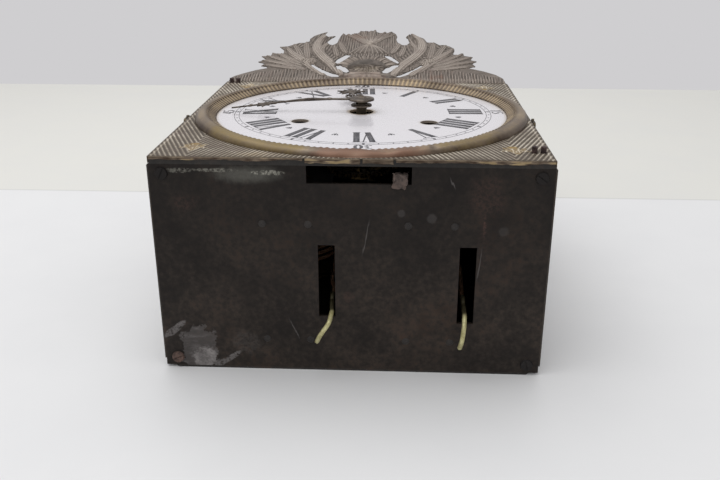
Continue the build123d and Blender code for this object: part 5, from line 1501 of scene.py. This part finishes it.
@dataclass
class Hands:
    """The two pierced bronze hands with their washers."""

    builder: PieceBuilder
    finish: bpy.types.Material
    centre: Point = (1.5, 0.0)
    hour_z: float = 153.6
    minute_z: float = 158.0
    thickness: float = 1.0
    droop_start: float = 40.0
    droop_end: float = 98.0
    droop: float = 7.4
    hour_turn: float = 12.0

    def star(self, shape: bmesh.types.BMesh, middle: Point, big: float, small: float, spikes: int,
             low: float) -> None:
        """Adds a spiky pierced star with a raised middle.

        Args:
            shape: Shape that gets the faces.
            middle: Its middle.
            big: Radius of its long spikes.
            small: Radius between the spikes.
            spikes: Number of spikes.
            low: Z of its underside.
        """
        outline = []
        for number in range(2 * spikes):
            turn = math.pi * number / spikes
            reach = (big if number % 4 == 0 else 0.8 * big) if number % 2 == 0 else small
            outline.append((middle[0] + reach * math.cos(turn), middle[1] + reach * math.sin(turn)))
        plate(shape, outline, low, low + self.thickness, 0.25)
        turned(shape, [(0.01, low + 0.5), (small * 0.62, low + 0.5), (small * 0.62, low + 1.02),
                       (small * 0.5, low + 1.35), (small * 0.25, low + 1.1), (0.01, low + 1.55)], middle, 20)

    def bar(self, shape: bmesh.types.BMesh, stations: list[tuple[float, float]], low: float,
            seed: float) -> None:
        """Adds a slightly wavy tapered bar along +X.

        Args:
            shape: Shape that gets the faces.
            stations: Distance from the centre and half width.
            low: Z of its underside.
            seed: Shift of its waviness.
        """
        upper = [(reach, half * (1 + 0.16 * noise.noise(Vector((reach * 0.3, seed, 0)))))
                 for reach, half in stations]
        lower = [(reach, -half * (1 + 0.16 * noise.noise(Vector((reach * 0.3, seed, 5)))))
                 for reach, half in stations]
        plate(shape, upper + lower[::-1], low, low + self.thickness, 0.2)

    def washer(self, shape: bmesh.types.BMesh, radius: float, hole: float, low: float, high: float) -> None:
        """Adds a domed washer round the hands' post, with a bead at its rim.

        Args:
            shape: Shape that gets the faces.
            radius: Its radius.
            hole: Radius of its hole.
            low: Z of its underside.
            high: Z of its top.
        """
        rise = high - low
        turned(shape, [(hole, low), (radius, low), (radius, low + rise * 0.45),
                       (radius - 0.5, low + rise * 0.7), (radius - 1.4, low + rise * 0.62),
                       (radius * 0.6, low + rise * 0.86), (hole + 0.6, high), (hole, high)], (0, 0), 72)

    def build_minute(self) -> None:
        """Builds the minute hand that points at nine o'clock and bends down to the dial."""
        shape = bmesh.new()
        stations = [(reach, 1.75 - 0.011 * reach) for reach in range(8, 98, 2)] + [(98, 0.3)]
        self.bar(shape, stations, self.minute_z, 2.0)
        self.star(shape, (72.0, 0.0), 9.4, 4.4, 9, self.minute_z - 0.05)
        for reach, size in ((60.5, 2.0), (83.5, 1.9), (24.0, 2.5)):
            turned(shape, [(0.01, self.minute_z), (size, self.minute_z), (size, self.minute_z + 1.0),
                           (size * 0.6, self.minute_z + 1.35), (0.01, self.minute_z + 1.4)], (reach, 0.0), 16)
        self.washer(shape, 9.5, 2.0, self.minute_z, self.minute_z + 2.1)
        for number in range(7):
            turn = 2 * math.pi * number / 7
            bmesh.ops.create_cone(
                shape, cap_ends=True, segments=6, radius1=0.75, radius2=0.1, depth=0.9,
                matrix=Matrix.Translation((3.1 * math.cos(turn), 3.1 * math.sin(turn), self.minute_z + 2.0)))
        turned(shape, [(2.0, self.minute_z + 1.6), (3.9, self.minute_z + 1.6), (3.9, self.minute_z + 2.1),
                       (2.7, self.minute_z + 2.55), (2.0, self.minute_z + 2.55)], (0, 0), 24)
        places = points_of(shape)
        reach = places[:, 0]
        share = np.clip((reach - self.droop_start) / (self.droop_end - self.droop_start), 0, 1)
        places[:, 2] -= self.droop * share
        places[:, 0] = self.centre[0] - reach
        places[:, 1] = self.centre[1] - places[:, 1]
        put_points(shape, places)
        self.builder.place(shape, "pierced_minute_hand", "minute", self.finish, Slot.HAND, ("minute_hand",))

    def build_hour(self) -> None:
        """Builds the hour hand with two scrolls under its star."""
        shape = bmesh.new()
        low = self.hour_z
        stations = [(6, 1.9), (14, 1.6), (22, 1.3), (30, 1.1), (38, 1.0), (46, 0.9), (62, 0.35)]
        self.bar(shape, stations, low, 7.0)
        self.star(shape, (51.5, 0.0), 11.5, 4.6, 11, low - 0.02)
        for side in (-1, 1):
            scroll = smooth_line([(22, 0.6), (26, 4.4), (32, 6.6), (37, 5.4), (37.5, 2.6), (34.6, 2.2),
                                  (34, 4.0)], 4)
            widths = np.linspace(1.5, 0.8, len(scroll))
            edge = np.gradient(scroll, axis=0)
            normal = np.stack([-edge[:, 1], edge[:, 0]], 1)
            normal /= np.maximum(np.linalg.norm(normal, axis=1), 1e-6)[:, None]
            outer = [(float(a), side * float(b)) for a, b in scroll + normal * widths[:, None] / 2]
            inner = [(float(a), side * float(b)) for a, b in scroll - normal * widths[:, None] / 2]
            for first in range(len(outer) - 1):
                corners = [outer[first], outer[first + 1], inner[first + 1], inner[first]]
                plate(shape, corners, low, low + 0.98)
        self.washer(shape, 7.8, 4.4, low, low + 1.9)
        swing = Matrix.Rotation(math.radians(90 + self.hour_turn), 4, "Z")
        turn = Matrix.Translation((*self.centre, 0)) @ swing
        bmesh.ops.transform(shape, matrix=turn, verts=shape.verts[:])
        self.builder.place(shape, "pierced_hour_hand", "hour", self.finish, Slot.HAND, ("hour_hand",))

    def build(self) -> None:
        """Builds both hands."""
        self.build_minute()
        self.build_hour()


# Cords


@dataclass
class TrainCords:
    """The twisted cords: wound on each barrel, and running down to its hook."""

    builder: PieceBuilder
    finish: bpy.types.Material
    radius: float = 1.5
    pitch_radius: float = 25.05
    turns: int = 8
    pitch: float = 4.6
    last_z: float = 47.2
    per_turn: int = 16
    lay: float = 9.0
    barrels: dict[str, Point] = field(default_factory=lambda: {
        "going": (51.0, -32.0), "strike": (-41.0, -32.0)})
    eyes: dict[str, tuple[float, float, float]] = field(default_factory=lambda: {
        "going": (74.2, -111.2, 45.2), "strike": (-13.0, -111.2, 46.4)})

    def route(self, points: list[tuple[float, float, float]], name: str) -> bpy.types.Curve:
        """Makes the smooth line of a cord.

        Args:
            points: Control points of the line in millimetres.
            name: Name of the curve.

        Returns:
            The curve, with one open spline.
        """
        curve = bpy.data.curves.new(name, "CURVE")
        curve.dimensions = "3D"
        curve.resolution_u = 12
        spline = curve.splines.new("NURBS")
        spline.points.add(len(points) - 1)
        for spot, point in zip(spline.points, points):
            spot.co = (point[0] * MM, point[1] * MM, point[2] * MM, 1)
        spline.order_u = 3
        spline.use_endpoint_u = True
        return curve

    def follow(self, curve: bpy.types.Curve) -> np.ndarray:
        """Reads the points that a curve's line really passes.

        Args:
            curve: The curve, which is removed.

        Returns:
            The points in metres.
        """
        holder = bpy.data.objects.new(curve.name, curve)
        bpy.context.scene.collection.objects.link(holder)
        bpy.context.view_layer.update()
        mesh = bpy.data.meshes.new_from_object(holder.evaluated_get(bpy.context.evaluated_depsgraph_get()))
        line = np.array([vert.co for vert in mesh.vertices], float).reshape(-1, 3)
        bpy.data.meshes.remove(mesh)
        bpy.data.objects.remove(holder)
        return line

    def twist(self, line: np.ndarray, name: str) -> bpy.types.Mesh:
        """Lays three strands round a line.

        Args:
            line: Points that the cord follows, in metres.
            name: Name of the mesh.

        Returns:
            The mesh of the three strands.
        """
        lengths = np.concatenate([[0], np.cumsum(np.linalg.norm(np.diff(line, axis=0), axis=1))])
        steps = max(24, round(lengths[-1] / (self.lay * MM / 9)))
        marks = np.linspace(0, lengths[-1], steps)
        path = np.stack([np.interp(marks, lengths, line[:, axis]) for axis in range(3)], 1)
        ahead = np.gradient(path, axis=0)
        ahead /= np.linalg.norm(ahead, axis=1)[:, None]
        side = np.cross(ahead, np.array([0.13, 0.21, 1.0]))
        side /= np.linalg.norm(side, axis=1)[:, None]
        over = np.cross(ahead, side)
        strand = 0.47 * self.radius * MM
        curve = bpy.data.curves.new(name, "CURVE")
        curve.dimensions = "3D"
        curve.bevel_depth = 0.53 * self.radius * MM
        curve.bevel_resolution = 1
        curve.use_fill_caps = True
        for number in range(3):
            turn = 2 * math.pi * (marks / (self.lay * MM) + number / 3)
            spots = path + strand * (np.cos(turn)[:, None] * side + np.sin(turn)[:, None] * over)
            spline = curve.splines.new("POLY")
            spline.points.add(steps - 1)
            spline.points.foreach_set("co", np.hstack([spots, np.ones((steps, 1))]).ravel())
        holder = bpy.data.objects.new(name + "_line", curve)
        bpy.context.scene.collection.objects.link(holder)
        bpy.context.view_layer.update()
        mesh = bpy.data.meshes.new_from_object(holder.evaluated_get(bpy.context.evaluated_depsgraph_get()))
        bpy.data.objects.remove(holder)
        mesh.name = name
        mesh.polygons.foreach_set("use_smooth", [True] * len(mesh.polygons))
        return mesh

    def build(self) -> None:
        """Builds the wound cords and the free ends down to the hooks."""
        for train, (x, y) in self.barrels.items():
            coil = []
            reach = self.pitch_radius / 0.99
            for number in range(self.turns * self.per_turn + 1):
                turn = 2 * math.pi * number / self.per_turn
                coil.append((x + reach * math.cos(turn), y + reach * math.sin(turn),
                             self.last_z + number * self.pitch / self.per_turn))
            line = self.follow(self.route(coil, f"{train}_coil_line"))
            mesh = self.twist(line, f"{train}_wound_strands")
            self.builder.settle(mesh, f"{train}_wound_strands", f"{train}_barrel", self.finish, Slot.CORD,
                                (f"{train}_wound_cord",))
            eye_x, eye_y, eye_z = self.eyes[train]
            down_x = x + self.pitch_radius
            top = eye_y + 2 * 3.2 + self.radius * 1.25
            drop = [(down_x, y - 2.9, self.last_z - 0.1), (down_x, y - 22, self.last_z - 0.7),
                    (down_x - 0.5, y - 44, self.last_z - 2.7), (eye_x + 0.6, top + 12, eye_z - 0.6),
                    (eye_x, top, eye_z)]
            line = self.follow(self.route(drop, f"{train}_drop_line"))
            mesh = self.twist(line, f"{train}_drop_strands")
            piece = self.builder.settle(mesh, f"{train}_drop_strands", "", self.finish, Slot.CORD,
                                        (f"{train}_cord_drop",))
            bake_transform(piece)
            2 * self.radius * MM


# Bottom plate


@dataclass
class PlateDressing:
    """Small things on the bottom plate: the rusty bolt end in the notch and the flattened rivets."""

    builder: PieceBuilder
    iron: bpy.types.Material
    rust: bpy.types.Material
    plate_y: float = -124.0
    ledge_z: float = 131.65
    bolt: tuple[float, float, float] = (31.0, -123.0, 134.6)
    bolt_size: tuple[float, float, float] = (8.4, 7.0, 7.4)
    rivets: tuple[Point, ...] = ((-55.5, 104.7), (-26.5, 104.7), (36.5, 104.7), (65.5, 104.7),
                                 (-55.5, 23.1), (-26.5, 23.1), (36.5, 23.1), (65.5, 23.1))

    def build_bolt(self) -> None:
        """Builds the lump of the bolt end that stands on the notch's lower edge."""
        shape = bmesh.new()
        block = Matrix.Translation(self.bolt) @ Matrix.Diagonal((*self.bolt_size, 1))
        bmesh.ops.create_cube(shape, size=1, matrix=block)
        bmesh.ops.bevel(shape, geom=shape.edges[:], offset=1.2, offset_type="OFFSET", segments=2, profile=0.5,
                        affect="EDGES", material=-1, clamp_overlap=True)
        bmesh.ops.subdivide_edges(shape, edges=shape.edges[:], cuts=4, use_grid_fill=True)
        noise.seed_set(6)
        front = self.plate_y - 0.6
        for vert in shape.verts:
            vert.co += noise.noise_vector(vert.co * 0.35) * 1.7 + noise.noise_vector(vert.co * 1.2) * 0.6
            if vert.co.y < front and vert.co.z < self.bolt[2]:
                vert.co.z -= 1.6 * min(1.0, (front - vert.co.y) / 1.2)
            if vert.co.y > self.plate_y - 0.1:
                vert.co.z = max(vert.co.z, self.ledge_z)
        self.builder.place(shape, "rusty_bolt_end", "root", self.rust, Slot.DARK_IRON)

    def build_rivets(self) -> None:
        """Builds the hammered rivet heads of the train bars' feet."""
        random.seed(4)
        shape = bmesh.new()
        for x, z in self.rivets:
            made = turned(shape, [(0.01, -0.05), (2.5, -0.05), (2.4, 0.22), (1.5, 0.42), (0.01, 0.5)],
                          (0, 0), 18)
            tilt = Matrix.Translation((x, self.plate_y, z)) @ Matrix.Rotation(math.radians(90), 4, "X")
            bmesh.ops.transform(shape, matrix=tilt, verts=made)
            for vert in made:
                vert.co.x += random.uniform(-0.08, 0.08)
                vert.co.z += random.uniform(-0.08, 0.08)
        self.builder.place(shape, "hammered_rivets", "root", self.iron, Slot.IRON, merge=0.02)

    def build(self) -> None:
        """Builds the lot."""
        self.build_bolt()
        self.build_rivets()


# Studio


@dataclass
class Studio:
    """Table, light and camera of the picture."""

    eye: tuple[float, float, float] = (28.6, -596.0, 282.1)
    lens: float = 40.26
    tilt: tuple[float, float, float] = (68.38, 0.0, 2.71)
    table_rear: float = 874.0
    sky: Colour = paint(207, 206, 208)
    fill: float = 0.76
    key_power: float = 11.0

    def build_table(self) -> None:
        """Builds the table top that carries the clock."""
        shape = bmesh.new()
        rear, front = self.table_rear, -3000.0
        bmesh.ops.create_grid(shape, x_segments=2, y_segments=2, size=0.5,
                              matrix=Matrix.Translation((0, (rear + front) / 2, 0))
                              @ Matrix.Diagonal((6000, rear - front, 1, 1)))
        bmesh.ops.scale(shape, vec=(MM, MM, MM), verts=shape.verts[:])
        mesh = bpy.data.meshes.new("table_top")
        shape.to_mesh(mesh)
        shape.free()
        mesh.materials.append(TableTop("table_paint").dress())
        table = bpy.data.objects.new("table_top", mesh)
        bpy.context.scene.collection.objects.link(table)

    def build_world(self) -> None:
        """Makes the even light, and the pale room that the camera and the metal see."""
        world = bpy.data.worlds.new("room")
        world.use_nodes = True
        bpy.context.scene.world = world
        tree = world.node_tree
        tree.nodes.clear()
        rays = tree.nodes.new("ShaderNodeLightPath")
        seen = tree.nodes.new("ShaderNodeMath")
        seen.operation = "MAXIMUM"
        tree.links.new(rays.outputs["Is Camera Ray"], seen.inputs[0])
        tree.links.new(rays.outputs["Is Glossy Ray"], seen.inputs[1])
        through = tree.nodes.new("ShaderNodeMath")
        through.operation = "MAXIMUM"
        tree.links.new(seen.outputs[0], through.inputs[0])
        tree.links.new(rays.outputs["Is Transmission Ray"], through.inputs[1])
        light, room = tree.nodes.new("ShaderNodeBackground"), tree.nodes.new("ShaderNodeBackground")
        light.inputs["Color"].default_value = (1, 1, 1, 1)
        light.inputs["Strength"].default_value = self.fill
        room.inputs["Color"].default_value = self.sky
        room.inputs["Strength"].default_value = 1.0
        both = tree.nodes.new("ShaderNodeMixShader")
        tree.links.new(through.outputs[0], both.inputs[0])
        tree.links.new(light.outputs[0], both.inputs[1])
        tree.links.new(room.outputs[0], both.inputs[2])
        sink = tree.nodes.new("ShaderNodeOutputWorld")
        tree.links.new(both.outputs[0], sink.inputs["Surface"])

    def build_lamps(self) -> None:
        """Hangs one wide soft lamp above the table, a little to the left and behind the clock."""
        lamp = bpy.data.lights.new("window", "AREA")
        lamp.shape = "RECTANGLE"
        lamp.size, lamp.size_y = 1.6, 1.2
        lamp.energy = self.key_power
        holder = bpy.data.objects.new("window", lamp)
        holder.location = (-0.3, 0.1, 1.4)
        aim = Vector((0.0, 0.0, 0.1)) - holder.location
        holder.rotation_euler = aim.to_track_quat("-Z", "Y").to_euler()
        bpy.context.scene.collection.objects.link(holder)

    def build_camera(self) -> None:
        """Sets the camera at the picture's viewpoint."""
        camera = bpy.data.cameras.new("camera")
        camera.lens = self.lens
        camera.sensor_width = 36
        camera.clip_start, camera.clip_end = 0.02, 50
        holder = bpy.data.objects.new("camera", camera)
        holder.location = Vector(self.eye) * MM
        holder.rotation_euler = [math.radians(angle) for angle in self.tilt]
        bpy.context.scene.collection.objects.link(holder)
        bpy.context.scene.camera = holder

    def build(self) -> None:
        """Builds table, world, lamp and camera."""
        self.build_camera()
        self.build_table()
        self.build_world()
        self.build_lamps()
        bpy.context.scene.view_settings.view_transform = "Standard"


# Assembly


@dataclass
class ClockDresser:
    """Gives every carried-over CAD node its finish."""

    finishes: dict[str, bpy.types.Material]
    special: dict[str, str] = field(default_factory=lambda: {
        "bottom_plate": "plate", "plate_screws": "screws", "surround_pins": "pins", "dial": "enamel",
        "bell": "bell", "left_door": "door", "right_door": "door", "going_hook": "wire",
        "strike_hook": "wire", "door_pintles": "dark", "back_screws": "dark", "suspension_cock": "dark",
        "escapement_cocks": "dark", "hammer_cocks": "dark", "left_turn_button": "button",
        "right_turn_button": "button", "crest": "brass", "anchor": "steel", "crutch": "steel",
        "hammer": "steel", "bell_post": "steel", "minute_hand": "hand", "hour_hand": "hand",
        "pillars": "iron", "top_plate": "iron", "back_sheet": "iron", "train_bars": "iron",
        "dial_board": "iron", "cannon_pinion": "pipe", "hour_wheel": "pipe"})

    def build(self) -> None:
        """Assigns the materials by node name."""
        for name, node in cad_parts.items():
            kind = self.special.get(name)
            if kind is None:
                kind = "cord" if "cord" in name else "steel" if "arbor" in name else "wheel"
            for slot in node.material_slots:
                slot.material = self.finishes[kind]
            if not node.material_slots:
                node.data.materials.append(self.finishes[kind])
            log.info("%s: %s", name, kind)


def make_finishes() -> dict[str, bpy.types.Material]:
    """Makes every finish of the clock.

    Returns:
        The materials by short name.
    """
    made = {
        "iron": OldIron("old_iron"),
        "dark": OldIron("black_iron", dark=paint(34, 31, 30), light=paint(52, 47, 44), rusted=0.42),
        "door": OldIron("door_iron", dark=paint(50, 46, 42), light=paint(78, 70, 62), rusted=0.55, rough=0.55,
                        grain=(1.0, 1.0, 0.5)),
        "plate": PlateIron("plate_iron", dark=paint(30, 25, 22), light=paint(62, 54, 48),
                           rust=paint(68, 52, 43), metal=0.12),
        "screws": ScrewIron("screw_iron", dark=paint(30, 28, 28), light=paint(50, 46, 44), rusted=0.4),
        "rust": OldIron("rusty_lump", dark=paint(56, 46, 42), light=paint(122, 108, 101),
                        rust=paint(92, 74, 66), rusted=0.6, rough=0.8, metal=0.0),
        "pins": Metal("peg_bronze", paint(96, 78, 74), paint(52, 40, 40), 0.5, 0.5, 4.0),
        "brass": EmbossedBrass("embossed_brass", middle=paint(134, 123, 114), ridge=paint(184, 174, 163),
                               striped=True),
        "field": EmbossedBrass("dotted_brass", hollow=paint(76, 66, 54), middle=paint(132, 120, 104),
                               ridge=paint(246, 238, 222), gold=paint(150, 122, 60), dotted=True),
        "ring": EmbossedBrass("ring_brass", hollow=paint(62, 46, 32), middle=paint(116, 102, 86),
                              ridge=paint(182, 160, 126), gold=paint(128, 109, 64), rough=0.38, metal=0.45),
        "enamel": Enamel("white_enamel"),
        "ink": Ink("dial_ink"),
        "hand": Metal("hand_bronze", paint(112, 102, 92), paint(62, 54, 48), 0.42, 0.55, 6.0),
        "bell": Metal("bell_metal", paint(150, 128, 84), paint(96, 80, 54), 0.36, 0.9, 24.0),
        "steel": Metal("arbor_steel", paint(128, 124, 118), paint(78, 68, 60), 0.36, 0.85, 9.0),
        "wheel": Metal("cut_brass", paint(112, 92, 60), paint(58, 46, 31), 0.38, 0.85, 14.0),
        # The hook wire gets painted shade where it lies inside the case.
        "wire": Metal("hook_wire", paint(206, 200, 152), paint(150, 142, 96), 0.34, 0.4, 5.0, sooty=True),
        "button": Metal("button_brass", paint(92, 80, 56), paint(44, 38, 32), 0.45, 0.6, 4.0),
        "pipe": Metal("pipe_brass", paint(104, 92, 70), paint(58, 50, 40), 0.45, 0.6, 6.0),
        "cord": HempCord("hemp_cord"),
    }
    return {key: finish.dress() for key, finish in made.items()}


def main() -> None:
    """Builds the clock's dressed pieces and the studio in order."""
    Studio().build()
    finishes = make_finishes()
    builder = PieceBuilder()
    ClockDresser(finishes).build()
    TrainCords(builder, finishes["cord"]).build()
    BrassFront(builder, finishes["field"], ring_finish=finishes["ring"]).build()
    Crest(builder, finishes["brass"]).build()
    DialPrint(builder, finishes["ink"]).build()
    Hands(builder, finishes["hand"]).build()
    PlateDressing(builder, finishes["dark"], finishes["rust"]).build()


if __name__ == "__main__":
    main()
